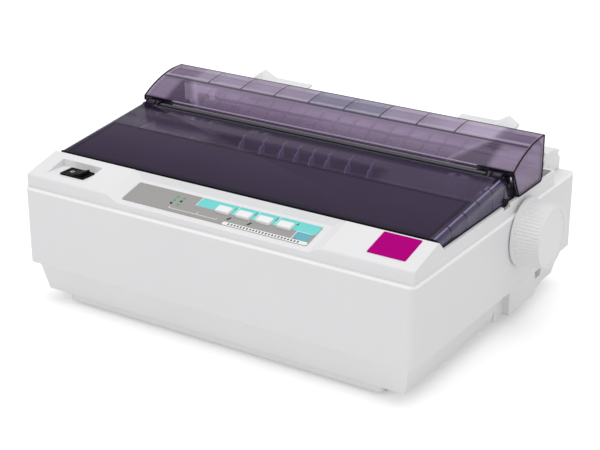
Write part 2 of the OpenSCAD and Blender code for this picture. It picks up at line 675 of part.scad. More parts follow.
module rear_hood() color([0.42, 0.34, 0.5, 0.6]) difference() {
    union() {
        // curved top with its short back flange
        along_x(-rim_hw, rim_hw) polygon(concat(hood_arc(0),
            [[hood_back, z_ridge - 9], [hood_back - smoke_t, z_ridge - 9]],
            [for (i = [10:-1:0]) let (p = hood_arc(smoke_t)[i])
                if (p[0] < hood_back - smoke_t && p[0] > hood_front + 0.6) p],
            [[hood_front + 1.8, hood_front_z - 4], [hood_front, hood_front_z - 3.4]]));
        // end walls, with the bottom back corner round about the pivot
        both_sides() along_x(rim_hw - smoke_t, rim_hw) polygon(concat(hood_arc(eps),
            arc(hood_pivot, hood_pivot_r, 0, -90, 6), [[seam_foot, z_rim + gap]]));
        // pins of the hood
        both_sides() {
            rod_x(bay_hw + 2.5, rim_hw - smoke_t + eps, hood_pivot, pin_r);
            rod_x(bay_hw + 6 + gap, rim_hw - smoke_t + eps, hood_pivot, pin_r + 1.2);
        }
        // bosses that hold the hinge rod
        both_sides() {
            rod_x(hood_knuckle_x, rod_half, rod, knuckle_r);
            along_x(hood_knuckle_x, rod_half) polygon([
                [rod_y, rod[1] + 2.5], [hood_front + 2.5, hood_front_z - 2],
                [hood_front + 2.5, rod[1] - 3.5], [rod_y, rod[1] - knuckle_r]]);
        }
        // long rib and cross ribs under the curved top
        difference() {
            union() {
                box(-rim_hw + 1, hood_rib_y - 0.6, 0, rim_hw - 1, hood_rib_y + 0.6, z_ridge);
                for (i = [0:hood_rib_count - 1]) let (x = -134.4 + i * hood_rib_pitch)
                    box(x - 0.5, hood_rib_y, 0, x + 0.5, hood_back - 1, z_ridge);
            }
            along_x(-rim_hw - 1, rim_hw + 1) polygon(concat(
                [[hood_front - 9, 0], [hood_front - 9, hood_front_z]], hood_arc(smoke_t + 2.2),
                [[hood_back + 9, hood_z(hood_back) - smoke_t - 2.2], [hood_back + 9, 0]]));
            along_x(-rim_hw - 1, rim_hw + 1) polygon(concat([[hood_front - 9, 300]], hood_arc(smoke_t / 2),
                [[hood_back + 9, hood_z(hood_back) - smoke_t / 2], [hood_back + 9, 300]]));
        }
    }
    both_sides() {
        rod_x(hood_knuckle_x - 1, rod_half + 1, rod, rod_r + 0.01);
        rod_x(lid_knuckle_x - gap, lid_knuckle_x + knuckle_w + gap, rod, knuckle_r + gap);
    }
}

module hinge_rod() color("slategray") rod_x(-rod_half, rod_half, rod, rod_r);

// ---------------------------------------------------------------- chassis

module chassis_pan() color("lightsteelblue") difference() {
    union() {
        translate([0, 0, z_pan]) linear_extrude(pan_t) round_rect(-pan_hw, pan_front, pan_hw, pan_back, 4);
        // lips folded up along the front and back
        for (y = [pan_front, pan_back - pan_t])
            box(-pan_hw + 6, y, z_pan, pan_hw - 6, y + pan_t, z_pan + pan_lip);
        // post of the idler pulley
        translate([-belt_span, belt_y, z_pan]) cylinder(r = 3, h = belt_z + belt_h + 1.5 - z_pan);
        translate([-belt_span, belt_y, z_pan]) cylinder(r = 5, h = belt_z - 0.8 - z_pan);
    }
    for (p = pan_spots) translate([p[0], p[1], z_pan - 1]) cylinder(r = 1.6, h = 4);
    for (x = [-70, 70]) translate([x, 84, z_pan - 1]) cylinder(r = 14, h = 4);
}

// Where the exit guide stands: front of its comb, back of its feet, and height
exit_y = 146;
exit_foot = 160;
exit_z = z_rim + 2;

// Outline of a side frame
module frame_outline() difference() {
    polygon([[58, z_floor], [252, z_floor], [252, tractor[1] - 14], [246, tractor[1] + 8],
        [bail_pivot[0] + 8, bail_pivot[1] + 7], [bail_pivot[0] - 8, bail_pivot[1] + 7],
        [platen_y + 4, platen[1] + 14], [exit_foot, exit_z], [exit_y, exit_z],
        [exit_y, platen[1] + 1], [58, platen[1] + 1]]);
    translate([96, z_floor + 30]) circle(10);
    translate([92, z_floor + 52]) circle(7);
    polygon([[200, z_floor + 6], [246, z_floor + 6], [246, z_floor + 16], [200, z_floor + 14]]);
}

// Holes shared by the two side frames
module frame_holes() {
    rod_x(-170, 170, platen, shaft_r + 4);
    rod_x(-170, 170, guide_rod_at, guide_rod_r + 0.01);
    rod_x(-170, 170, pinch, pinch_shaft_r + run_fit);
    rod_x(-170, 170, tractor, shaft_r + run_fit);
    rod_x(-170, 170, bail_pivot, 2.5 + run_fit);
    rod_x(-170, 170, tractor_bar_at, 3.01);
}
tractor_bar_at = [tractor[0] + 16, tractor[1] - 12];

module side_frame() difference() {
    union() {
        along_x(frame_x, frame_x + frame_t) frame_outline();
        // foot and the shelf of the ribbon cartridge, folded inwards
        box(frame_x - 8, 62, z_floor, frame_x + eps, 90, z_floor + 1.6);
        box(cartridge_hw - 5, cartridge_front + 2, cartridge_z - 1.6,
            frame_x + eps, cartridge_back - 6, cartridge_z);
    }
    frame_holes();
}
module right_side_frame() color("silver") side_frame();
module left_side_frame() color("silver") difference() {
    union() {
        mirror([1, 0, 0]) side_frame();
        // stud of the feed idler
        rod_x(gear_x - 2.5, -frame_x - frame_t + eps, idler, 3);
        rod_x(gear_x + gear_w + 1 + 0.2, -frame_x - frame_t + eps, idler, 5);
    }
    rod_x(-frame_x - frame_t - 1, -frame_x + 1, pinion, 3.5);
    rod_x(-frame_x - frame_t - 1, -frame_x + 1, lever_pivot, 3 + run_fit);
}

module platen_bushes() color("goldenrod") for (s = [-1, 1]) difference() {
    union() {
        rod_x(s * (frame_x + 1) - 1, s * (frame_x + 1) + 1, platen, shaft_r + 3.99);
        rod_x(s * (frame_x - 1) - 1, s * (frame_x - 1) + 1, platen, shaft_r + 5.5);
    }
    rod_x(s * frame_x - 5, s * frame_x + 5, platen, shaft_r + run_fit);
}

module platen_shaft() color("silver") rod_x(gear_x - 2, knob_end - 6, platen, shaft_r);

module platen_roller() color([0.16, 0.16, 0.17]) difference() {
    rod_x(-platen_len / 2, platen_len / 2, platen, platen_r);
    rod_x(-platen_len, platen_len, platen, shaft_r + 0.01);
}

module platen_gear() color("ivory") feed_gear(platen, platen_teeth, platen_phase, shaft_r + 0.01, 8);
module feed_idler_gear() color("ivory") feed_gear(idler, idler_teeth, idler_phase, 3 + run_fit, 6);
module tractor_gear() color("ivory") feed_gear(tractor, tractor_teeth_n, tractor_phase, shaft_r + 0.01, 8);

module feed_pinion() color("goldenrod") {
    translate([gear_x, pinion[0], pinion[1]]) along_x(0, gear_w + 1)
        gear_outline(pinion_teeth, pinion_phase);
    rod_x(gear_x + gear_w, -frame_x + 8, pinion, 2);
}

module feed_motor() color("dimgray") difference() {
    union() {
        rod_x(-frame_x + eps, -frame_x + 20, pinion, 16);
        along_x(-frame_x + eps, -frame_x + 1.5) translate(pinion) round_rect(-21, -8, 21, 8, 5);
    }
    rod_x(-frame_x - 1, -frame_x + 9, pinion, 2 + run_fit);
}

flute_depth = 0.7;

// Fluted knob: collar, grip and a shallow dished face
module knob() color("white") difference() {
    union() {
        rod_x(knob_x, knob_x + 2.6, platen, knob_collar_r);
        translate([knob_x + 2, platen[0], platen[1]]) rotate([90, 0, 90])
            linear_extrude(knob_len - 3.4, scale = 0.965) polygon([for (i = [0:2 * knob_flutes - 1])
                polar(knob_r - (i % 2 == 0 ? 0 : flute_depth), 180 * i / knob_flutes)]);
        rod_x(knob_end - 2, knob_end, platen, knob_r - 1.6);
        rod_x(case_hw - 16, knob_x + 1, platen, shaft_r + 4);
    }
    rod_x(case_hw - 20, knob_end - 5.5, platen, shaft_r + 0.01);
    rod_x(knob_end - 0.6, knob_end + 1, platen, knob_r - 4);
}

roller_spots = [-88, 0, 88];
module pinch_rollers() color("dimgray") {
    rod_x(-frame_x - frame_t - 1, frame_x + frame_t + 1, pinch, pinch_shaft_r);
    for (x = roller_spots) rod_x(x - 12, x + 12, pinch, pinch_r);
}

// Curved pan that leads the paper round the platen
module paper_pan() color("gray") difference() {
    union() {
        along_x(-platen_len / 2 - 4, platen_len / 2 + 4) translate(platen) polygon(concat(
            arc([0, 0], platen_r + 1.4, 218, 330, 14),
            [polar(platen_r + 7, 350), polar(platen_r + 8, 347)],
            arc([0, 0], platen_r + 2.6, 328, 218, 14)));
        // ears that reach the side frames
        for (s = [-1, 1]) along_x(s * 138 - 8, s * 138 + 8 - eps) translate(platen) polygon(concat(
            arc([0, 0], platen_r + 2.9, 232, 300, 8), arc([0, 0], platen_r + 1.6, 300, 232, 8)));
    }
    for (x = roller_spots) box(x - 13, pinch[0] - 9, pinch[1] - 8, x + 13, pinch[0] + 9, pinch[1] + 9);
}

// ---------------------------------------------------------------- carriage

module guide_rod() color("silver")
    rod_x(-frame_x - frame_t - 3, frame_x + frame_t + 3, guide_rod_at, guide_rod_r);

rail_t = 1.6;
module carriage_rail() color("lightsteelblue") along_x(-frame_x, frame_x) polygon([
    [rail_y, rail_z - 12], [rail_y + rail_t, rail_z - 12], [rail_y + rail_t, rail_z - rail_t],
    [rail_y + 10, rail_z - rail_t], [rail_y + 10, rail_z], [rail_y, rail_z]]);

module carriage() color([0.2, 0.2, 0.21]) difference() {
    union() {
        along_x(-carriage_w / 2, carriage_w / 2) polygon([
            [guide_rod_y - 14, carriage_bottom], [guide_rod_y + 14, carriage_bottom],
            [guide_rod_y + 16, carriage_top - 3], [guide_rod_y + 16, carriage_top],
            [guide_rod_y - 16, carriage_top], [guide_rod_y - 16, carriage_bottom + 4]]);
        // arm that slides on the front rail
        along_x(-18, 18) polygon([[rail_y - 1, rail_z + gap], [guide_rod_y - 15, rail_z + gap],
            [guide_rod_y - 15, carriage_top], [rail_y - 1, rail_z + 6]]);
        // clamp of the drive belt
        box(-8, belt_y + pulley_r - 1.5, belt_z - 0.5, 8, belt_y + pulley_r + 4.5, carriage_bottom + 1);
    }
    rod_x(-40, 40, guide_rod_at, guide_rod_r + run_fit);
    box(-9, belt_y + pulley_r + gap - 0.3, belt_z - 1,
        9, belt_y + pulley_r + belt_t + 0.9, belt_z + belt_h + 0.5);
}

// Finned print head with its nose at the ribbon
head_back = guide_rod_y - 20;
head_front = guide_rod_y + 10;
fin_pitch = (head_front - head_back) / fin_count;
fin_t = 1.8;
fin_d = 4;
module print_head() color("darkslategray") difference() {
    union() {
        translate([0, head_back, platen[1]]) rotate([-90, 0, 0]) rotate_extrude() polygon(concat(
            [[0, 0]], [for (i = [0:fin_count - 1]) let (y = i * fin_pitch)
                each [[fin_r, y], [fin_r, y + fin_t], [fin_r - fin_d, y + fin_t], [fin_r - fin_d, y + fin_pitch]]],
            [[0, head_front - head_back]]));
        // nose that tapers towards the ribbon
        along_x(-6, 6) polygon([
            [head_front - 1, platen[1] - 12], [ribbon_y - 4, platen[1] - 5.5],
            [ribbon_y - 0.7, platen[1] - 5], [ribbon_y - 0.7, platen[1] + 5],
            [ribbon_y - 4, platen[1] + 5.5], [head_front - 1, platen[1] + 12]]);
        box(-14, head_back + 3, carriage_top, 14, head_front, platen[1] - 8);
    }
    // window of the print wires
    box(-1.5, ribbon_y - 1.3, platen[1] - 3.5, 1.5, ribbon_y, platen[1] + 3.5);
}

// Arms of the ribbon cartridge
arm_w = 9;
arm_x = cartridge_hw - arm_w / 2;

module ribbon_cartridge() color([0.13, 0.13, 0.14]) difference() {
    union() {
        translate([0, 0, cartridge_z]) linear_extrude(cartridge_h) {
            round_rect(-cartridge_hw, cartridge_front, cartridge_hw, cartridge_back, 5);
            // arms that bring the ribbon to the platen
            for (s = [-1, 1]) translate([s * arm_x - arm_w / 2, cartridge_back - 8])
                square([arm_w, ribbon_y - cartridge_back + 6]);
        }
        // guide posts at the ends of the arms
        for (s = [-1, 1]) translate([s * arm_x, ribbon_y - 4, ribbon_z - 1])
            cylinder(r = 3.5, h = cartridge_z - ribbon_z + 2);
        // raised lid of the ribbon chamber with finger tabs
        translate([0, 0, cartridge_z + cartridge_h - eps]) linear_extrude(1.2)
            round_rect(-cartridge_hw + 8, cartridge_front + 5, cartridge_hw - 8, cartridge_back - 5, 4);
        for (s = [-1, 1]) box(s * 20 - 1, cartridge_front - 6, cartridge_z + 6,
            s * 20 + 1, cartridge_front + 1, cartridge_z + 15);
    }
    translate([-105, 84, cartridge_z + 2]) cylinder(r = 4 + run_fit, h = 30);
    translate([-105, 84, cartridge_z + cartridge_h]) cylinder(r = 10.5, h = 9);
    // ribbon window of each guide post
    for (s = [-1, 1]) box(s * arm_x - 5, ribbon_y - 0.4, ribbon_z - 2,
        s * arm_x + 5, ribbon_y + 9, ribbon_z + 16);
}

module ribbon_band() color([0.08, 0.08, 0.1])
    box(-cartridge_hw + 5, ribbon_y - 0.35, ribbon_z, cartridge_hw - 5, ribbon_y, ribbon_z + ribbon_h);

module ribbon_knob() color("royalblue") translate([-105, 84, cartridge_z]) difference() {
    union() {
        translate([0, 0, 3]) cylinder(r = 4, h = cartridge_h - 1);
        translate([0, 0, cartridge_h + 0.4]) linear_extrude(7) polygon(
            [for (i = [0:23]) polar(i % 2 == 0 ? 9 : 8, 15 * i)]);
    }
    translate([0, 0, cartridge_h + 5]) cylinder(r = 6, h = 4);
}

// Loop of belt round the two pulleys, grown by t
module belt_loop(t) {
    r = pulley_r + gap + t;
    translate([-belt_span, belt_y - r]) square([2 * belt_span, 2 * r]);
    for (s = [-1, 1]) translate([s * belt_span, belt_y]) circle(r);
}
module drive_belt() color([0.15, 0.15, 0.15])
translate([0, 0, belt_z]) linear_extrude(belt_h) difference() {
    belt_loop(belt_t);
    belt_loop(0);
}

module carriage_motor() color("dimgray") translate([belt_span, belt_y, z_floor]) difference() {
    union() {
        cylinder(r = 17, h = belt_z - 2 - z_floor);
        linear_extrude(2) round_rect(-17, -17, 17, 17, 4);
    }
    translate([0, 0, 6]) cylinder(r = 2.5 + run_fit, h = 40);
}

module motor_pulley() color("goldenrod") translate([belt_span, belt_y, 0]) {
    translate([0, 0, z_floor + 8]) cylinder(r = 2.5, h = belt_z - z_floor);
    translate([0, 0, belt_z - 0.8]) cylinder(r = pulley_r, h = belt_h + 1.6);
    translate([0, 0, belt_z - 1.4]) cylinder(r = pulley_r + 1.2, h = 0.9);
}

module idler_pulley() color("goldenrod") translate([-belt_span, belt_y, 0]) difference() {
    translate([0, 0, belt_z - 0.5]) cylinder(r = pulley_r, h = belt_h + 1.3);
    translate([0, 0, belt_z - 2]) cylinder(r = 3 + run_fit, h = belt_h + 6);
}

// ---------------------------------------------------------------- paper bail and exit

module paper_bail() color("silver") {
    rod_x(-bail_x - 1, bail_x + 1, bail, bail_shaft_r);
    both_sides() {
        along_x(bail_x, bail_x + 2) union() {
            polygon([bail + [0, 4], bail + [0, -4], bail_pivot + [0, -5], bail_pivot + [0, 5]]);
            translate(bail) circle(4);
            translate(bail_pivot) circle(5);
        }
        rod_x(bail_x + 1, frame_x + frame_t, bail_pivot, 2.5);
    }
}
module bail_rollers() color("dimgray") for (x = [-80, 0, 80]) difference() {
    rod_x(x - 8, x + 8, bail, bail_roller_r);
    rod_x(x - 9, x + 9, bail, bail_shaft_r + 0.01);
}

// Ribbed guide over the carriage that leads the paper out
exit_hw = 160;
exit_t = 1.6;
module exit_guide() color("lightgray") {
    along_x(-exit_hw, exit_hw) polygon([
        [exit_y, exit_z], [exit_y + exit_t, exit_z], [exit_y + exit_t, exit_z + 9.4],
        [exit_y + 9, exit_z + 10.4], [exit_y + 9, exit_z + 12], [exit_y, exit_z + 10.6]]);
    both_sides() box(frame_x - 8, exit_y, exit_z, exit_hw, exit_foot - 2, exit_z + exit_t);
    for (s = [-1, 1], x = [7.5, 23, 43, 64]) along_x(s * x - 0.8, s * x + 0.8) polygon([
        [exit_y - 9, exit_z - 1], [exit_y + 1, exit_z], [exit_y + 1, exit_z + 8], [exit_y - 5, exit_z + 6]]);
}

// ---------------------------------------------------------------- tractor

module tractor_shaft() color("silver") rod_x(gear_x - 1.5, frame_x + frame_t + 2, tractor, shaft_r);
module tractor_bar() color("silver")
    rod_x(-frame_x - frame_t - 1, frame_x + frame_t + 1, tractor_bar_at, 3);

// Wheel whose pins carry the edge holes of the paper
wheel_w = 5;
module pin_wheel() difference() {
    union() {
        rod_x(tractor_x - wheel_w / 2, tractor_x + wheel_w / 2, tractor, pin_wheel_r - 0.6);
        rod_x(tractor_x - 3.7, tractor_x + 3.7, tractor, shaft_r + 2);
        translate([tractor_x, tractor[0], tractor[1]]) for (a = [0:60:300]) rotate([a, 0, 0])
            translate([0, 0, pin_wheel_r - 2]) cylinder(r1 = 1.6, r2 = 1, h = 4, $fn = 24);
    }
    rod_x(tractor_x - 5, tractor_x + 5, tractor, shaft_r + run_fit);
}
module right_pin_wheel() color("dimgray") pin_wheel();
module left_pin_wheel() color("dimgray") mirror([1, 0, 0]) pin_wheel();

// Cheeks on both sides of the wheel, joined behind it, with the door's lugs on the outer one
cheek_top = tractor[1] + pin_wheel_r - 0.8;
door_hinge = [tractor_x + 10, cheek_top - 0.4];
module tractor_unit() difference() {
    union() {
        for (x = [-7, 4]) along_x(tractor_x + x, tractor_x + x + 3) polygon([
            [tractor[0] - 14, tractor[1] - 4], [tractor[0] + 8, tractor[1] - 17],
            [tractor[0] + 20, tractor[1] - 17], [tractor[0] + 18, cheek_top], [tractor[0] - 13, cheek_top]]);
        along_x(tractor_x - 7, tractor_x + 7) polygon([[tractor[0] + 15.5, tractor[1] - 17],
            [tractor[0] + 20, tractor[1] - 17], [tractor[0] + 18, cheek_top], [tractor[0] + 14, cheek_top]]);
        for (y = [-10, 7]) box(tractor_x + 6.5, tractor[0] + y, cheek_top - 5,
            tractor_x + 11.6, tractor[0] + y + 2.5, cheek_top + 1.2);
    }
    rod_x(tractor_x - 9, tractor_x + 9, tractor, shaft_r + run_fit);
    rod_x(tractor_x - 9, tractor_x + 9, tractor_bar_at, 3 + run_fit);
    along_y(tractor[0] - 11, tractor[0] + 10) translate(door_hinge) circle(0.8 + run_fit);
}
module right_tractor() color("gray") tractor_unit();
module left_tractor() color("gray") mirror([1, 0, 0]) tractor_unit();

// Hinged door that keeps the paper on the pins, with a slot for them
module tractor_door() difference() {
    union() {
        translate([tractor_x, tractor[0], cheek_top]) {
            box(-8, -12, 1.6, 7, 9.5, 3.2);
            box(6, -7.2, 1.6, 10, 6.7, 3.2);
            box(8.8, -7.2, -1.2, 10.8, 6.7, 3.2);
        }
        along_y(tractor[0] - 9.8, tractor[0] + 9.3) translate(door_hinge) circle(0.8);
    }
    box(tractor_x - 2.4, tractor[0] - 9, cheek_top, tractor_x + 2.4, tractor[0] + 7, cheek_top + 4);
}
module right_tractor_door() color("gray") tractor_door();
module left_tractor_door() color("gray") mirror([1, 0, 0]) tractor_door();

// Lever that frees the paper, on the left rear of the case
lever_pivot = [232, z_ledge - 43.5];
lever_l = 60;
module release_lever() color("white") {
    along_x(-bay_hw - 3, -bay_hw - 0.3) union() {
        translate(lever_pivot) circle(6);
        translate(lever_pivot) polygon([[-4, 0], [4, 0], [6, lever_l], [1, lever_l]]);
    }
    along_x(-bay_hw - 5, -bay_hw + 4) translate(lever_pivot + [3.5, lever_l]) circle(4);
    rod_x(-bay_hw - 1, -frame_x + 1.5, lever_pivot, 3);
}

// ---------------------------------------------------------------- sheet guide

module sheet_guide() color("white") {
    both_sides() difference() {
        along_x(guide_hw - guide_wall, guide_hw) polygon([
            [guide_front, guide_pivot[1]], [guide_front, guide_top - 5], [guide_front + 5, guide_top],
            [guide_back - 9.5, guide_top], [guide_back, guide_top - 10.5], [guide_back, z_ledge + gap],
            [guide_pivot[0] - 3, z_ledge + 1]]);
        rod_x(guide_hw - 1, guide_hw + 1, guide_pivot, 1);
    }
    both_sides() rod_x(guide_hw - 8.5, guide_hw - guide_wall + eps, guide_pivot, 2);
    along_x(-guide_hw + 1, guide_hw - 1) polygon([[guide_front, guide_floor], [guide_back, guide_floor + 4],
        [guide_back, guide_floor + 2], [guide_front, guide_floor - 2]]);
    // rail of the edge guides, and ribs that the paper slides on
    box(-guide_hw + 1, guide_rail[0], guide_floor + 0.5, guide_hw - 1, guide_rail[1], guide_floor + 5);
    for (x = [-54:18:54]) along_x(x - 0.8, x + 0.8)
        polygon([[guide_front, guide_floor - 1], [guide_back, guide_floor + 3],
            [guide_back, guide_floor + 6.5], [guide_front + 3, guide_floor + 3.5]]);
}

// Edge guide with its wing; inner is the wing's inner end, and the ridge lies outside it
module edge_guide(inner, ridge) {
    shoe = [guide_rail[0] - 5, guide_rail[1] + 5];
    stem = [shoe[0] + 1, shoe[1] - 1];
    // shoe that straddles the rail
    difference() {
        box(ridge, shoe[0], guide_floor + 3.6, ridge + ridge_w, shoe[1], guide_floor + 9);
        box(ridge - 1, guide_rail[0] - gap, guide_floor, ridge + ridge_w + 1, guide_rail[1] + gap,
            guide_floor + 5 + gap);
    }
    // upright that carries the wing
    along_x(ridge + 9, ridge + 12) polygon([
        [stem[0], guide_floor + 8], [stem[1], guide_floor + 8], [wing_back, wing_z - 1],
        [stem[0] + 2, wing_z - 1 - (wing_back - stem[0] - 2) * tan(wing_slope)]]);
    translate([0, wing_back, wing_z]) rotate([wing_slope, 0, 0]) {
        translate([inner, -20, -1.8]) cube([ridge + ridge_w - inner, 20, 1.8]);
        // hipped ridge: a wedge that slopes down to the front
        intersection() {
            along_y(-20, 0) polygon([[ridge, -0.5], [ridge + ridge_w, -0.5],
                [ridge + ridge_w - 0.5, 1], [ridge + 13, ridge_up]]);
            along_x(ridge - 1, ridge + ridge_w + 1) polygon([[-20, -0.5], [-18, 1],
                [-5, ridge_up + 0.5], [0, ridge_up + 0.5], [0, -0.5]]);
        }
    }
}
module right_edge_guide() color("white") edge_guide(77, 111);
module left_edge_guide() color("white") mirror([1, 0, 0]) edge_guide(79.5, 118);

// ---------------------------------------------------------------- electronics and sockets

module standoff(x, y, top) translate([x, y, z_floor]) cylinder(r = 2.5, h = top - z_floor);
board_z = z_floor + 7;
board_back = pan_back - 6;
board_front = board_back - 68;
board_top = board_z + board_t - 0.1;
module board(x0, x1) {
    box(x0, board_front, board_z, x1, board_back, board_z + board_t);
    for (x = [x0 + 6, x1 - 6], y = [board_front + 6, board_back - 6]) standoff(x, y, board_z + eps);
}
module control_board() color("darkgreen") {
    board(-112, 36);
    // row of chips, the processor and the driver transistors
    for (i = [0:3]) translate([-96 + i * 26, board_front + 12, board_top]) cube([18, 6, 3.6]);
    translate([-60, board_front + 28, board_top]) cube([26, 26, 2.6]);
    for (i = [0:4]) translate([6 + (i % 2) * 14, board_front + 24 + i * 8, board_top])
        cylinder(r = 3.4, h = 9);
}
module power_board() color("peru") {
    board(48, 140);
    // transformer, heat sink and smoothing capacitors
    translate([60, board_front + 10, board_top]) cube([36, 36, 27.5]);
    translate([104, board_front + 8, board_top]) cube([3, 50, 24.5]);
    for (i = [0:1]) translate([124, board_front + 20 + i * 24, board_top]) cylinder(r = 8, h = 20);
}

// Mains inlet and interface socket in the back wall
module rear_sockets() color([0.2, 0.2, 0.2]) {
    difference() {
        box(70 + gap, case_d - 20, z_case + 8 + gap, 112 - gap, case_d - 0.6, z_case + 30 - gap);
        box(78, case_d - 16, z_case + 12, 104, case_d + 1, z_case + 26);
    }
    for (x = [85, 91, 97]) box(x - 1, case_d - 17, z_case + 18, x + 1, case_d - 6, z_case + 20);
    difference() {
        box(-140 + gap, case_d - 16, z_case + 8 + gap, -80 - gap, case_d - 0.6, z_case + 20 - gap);
        box(-133, case_d - 12, z_case + 10.5, -87, case_d + 1, z_case + 17.5);
    }
    box(-130, case_d - 13, z_case + 13, -90, case_d - 3, z_case + 15);
}

in_frame() lower_case();
in_frame() rubber_feet();
in_frame() upper_case();
in_frame() panel_overlay();
in_frame() badge_plate();
in_frame() indicator_leds();
in_frame() panel_board();
in_frame() switch_housing();
in_frame() rocker();
in_frame() button_1();
in_frame() button_2();
in_frame() button_3();
in_frame() button_4();
in_frame() front_lid();
in_frame() rear_hood();
in_frame() hinge_rod();
in_frame() chassis_pan();
in_frame() left_side_frame();
in_frame() right_side_frame();
in_frame() platen_bushes();
in_frame() platen_shaft();
in_frame() platen_roller();
in_frame() platen_gear();
in_frame() knob();
in_frame() feed_idler_gear();
in_frame() feed_pinion();
in_frame() feed_motor();
in_frame() pinch_rollers();
in_frame() paper_pan();
in_frame() guide_rod();
in_frame() carriage_rail();
in_frame() carriage();
in_frame() print_head();
in_frame() ribbon_cartridge();
in_frame() ribbon_band();
in_frame() ribbon_knob();
in_frame() drive_belt();
in_frame() carriage_motor();
in_frame() motor_pulley();
in_frame() idler_pulley();
in_frame() paper_bail();
in_frame() bail_rollers();
in_frame() exit_guide();
in_frame() tractor_shaft();
in_frame() tractor_gear();
in_frame() tractor_bar();
in_frame() left_tractor();
in_frame() right_tractor();
in_frame() left_pin_wheel();
in_frame() right_pin_wheel();
in_frame() left_tractor_door();
in_frame() right_tractor_door();
in_frame() release_lever();
in_frame() sheet_guide();
in_frame() left_edge_guide();
in_frame() right_edge_guide();
in_frame() control_board();
in_frame() power_board();
in_frame() rear_sockets();
in_frame() case_screws();
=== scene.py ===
import json
import math

import bmesh
import bpy
from bpy.props import FloatProperty, FloatVectorProperty, IntProperty, PointerProperty
from bpy.types import Operator, Panel, PropertyGroup
from mathutils import Matrix, Vector

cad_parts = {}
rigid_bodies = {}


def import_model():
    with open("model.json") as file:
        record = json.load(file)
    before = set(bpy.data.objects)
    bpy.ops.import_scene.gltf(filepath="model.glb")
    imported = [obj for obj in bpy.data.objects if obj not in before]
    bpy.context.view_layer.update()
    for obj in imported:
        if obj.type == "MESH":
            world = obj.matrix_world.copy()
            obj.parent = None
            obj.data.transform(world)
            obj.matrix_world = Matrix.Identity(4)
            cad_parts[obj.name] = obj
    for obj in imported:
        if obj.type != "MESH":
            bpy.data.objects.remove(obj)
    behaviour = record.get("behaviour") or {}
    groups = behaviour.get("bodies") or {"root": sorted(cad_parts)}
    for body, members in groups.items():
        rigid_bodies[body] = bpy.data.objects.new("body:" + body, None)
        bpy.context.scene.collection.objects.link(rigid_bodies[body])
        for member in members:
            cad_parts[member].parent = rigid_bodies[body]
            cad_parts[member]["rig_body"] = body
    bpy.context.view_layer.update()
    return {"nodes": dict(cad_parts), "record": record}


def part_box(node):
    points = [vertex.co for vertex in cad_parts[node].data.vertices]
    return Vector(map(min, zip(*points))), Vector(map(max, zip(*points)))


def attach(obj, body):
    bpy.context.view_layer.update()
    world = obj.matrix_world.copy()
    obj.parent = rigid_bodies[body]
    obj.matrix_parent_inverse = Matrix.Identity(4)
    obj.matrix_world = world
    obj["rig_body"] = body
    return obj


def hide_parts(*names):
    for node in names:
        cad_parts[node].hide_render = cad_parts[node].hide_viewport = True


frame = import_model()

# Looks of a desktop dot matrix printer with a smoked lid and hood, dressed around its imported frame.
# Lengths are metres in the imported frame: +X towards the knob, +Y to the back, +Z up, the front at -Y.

bl_info = {
    "name": "Dot matrix printer looks",
    "version": (1, 0, 0),
    "blender": (4, 5, 0),
    "location": "3D View > Sidebar > Printer",
    "description": "Finishes, printed panel and studio of a desktop dot matrix printer",
    "category": "Object",
}

MM = 0.001

# Places taken from the frame
CASE_LOW, CASE_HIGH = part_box("upper_case")
CASE_MIDDLE = (CASE_LOW.x + CASE_HIGH.x) / 2
CASE_FRONT = CASE_LOW.y

# The sloped deck, its film and the case's ledge
DECK_SLOPE = math.radians(14.5)
FILM_T = 0.5 * MM
LEDGE_Z = 103.5 * MM

# The covers: half width, back and end ribs of the lid, the rod's axis, and the hood's long rib and cells
LID_HALF = 181 * MM
LID_BACK = 154.6 * MM
LID_RIBS = (64.5 * MM, 88.7 * MM, 110.3 * MM, 133 * MM)
ROD_Y = 158.5 * MM
ROD_Z = 134.5 * MM
HOOD_RIB = 190.8 * MM
CELL_FIRST = -134.4 * MM
CELL_PITCH = 35.7 * MM

# Painted zones of the covers, in millimetres: the direction they are read along, where one begins and where
# it is full. "right" and "out" count from the case's middle, "back" from its front.
ZONES = {
    "knuckles": ("out", 154, 156),
    "hood_body": ("back", 163, 179),
    "hood_rear_body": ("back", 184, 192),
    "hood_slats": ("back", 187, 180),
    "hood_past_front": ("back", 164, 168),
    "hood_rear": ("back", 187, 196),
    "hood_ends": ("out", 158, 164),
    "hood_dim_corners": ("out", 148, 156),
    "hood_pale_right": ("right", 90, 130),
    "hood_pale_inside": ("out", 152, 148),
    "hood_blue_left": ("right", -28, -26),
    "hood_blue_right": ("right", 45, 43),
    "hood_cells": ("out", 150, 148),
    "hood_lit_front": ("back", 166, 164),
    "hood_lit_inside": ("out", 153, 151),
    "frost_inside": ("back", 45, 49),
    "frost_lift": ("back", 46, 90),
    "lid_strip": ("back", 131, 134),
    "lid_strip_left": ("right", 110, -120),
    "lid_dark_back": ("back", 141, 146),
    "window_left": ("right", -85, -70),
    "window_right": ("right", 95, 85),
    "window_front": ("back", 132, 128),
}

# Squared distance from the rod's axis at which the knuckles' dark begins and is full
KNUCKLE_DARK = (90 * MM * MM, 50 * MM * MM)

# Middles of the lamps that aren't lit, on the panel's film
UNLIT_LAMPS = ((49.7 * MM, 14.4 * MM), (43.0 * MM, 9.7 * MM))

# Edges sharper than this are rounded or outlined
SHARP = math.radians(35)

WHITE = (1.0, 1.0, 1.0, 1.0)
PRINT_WHITE = (0.85, 0.85, 0.85)
PRINT_BLACK = (0.015, 0.015, 0.015)
PRINT_RED = (0.7, 0.06, 0.05)

# The printed scale, and the height of a figure in a font of size 1
TICKS = 23
TICK_PITCH = 2.9 * MM
FIGURE_HEIGHT = 0.7

# The stage
FLOOR_RADIUS = 8.0
CAMERA_PLACE = (0.6412, -1.0157, 0.5635)
SENSOR = 36.0


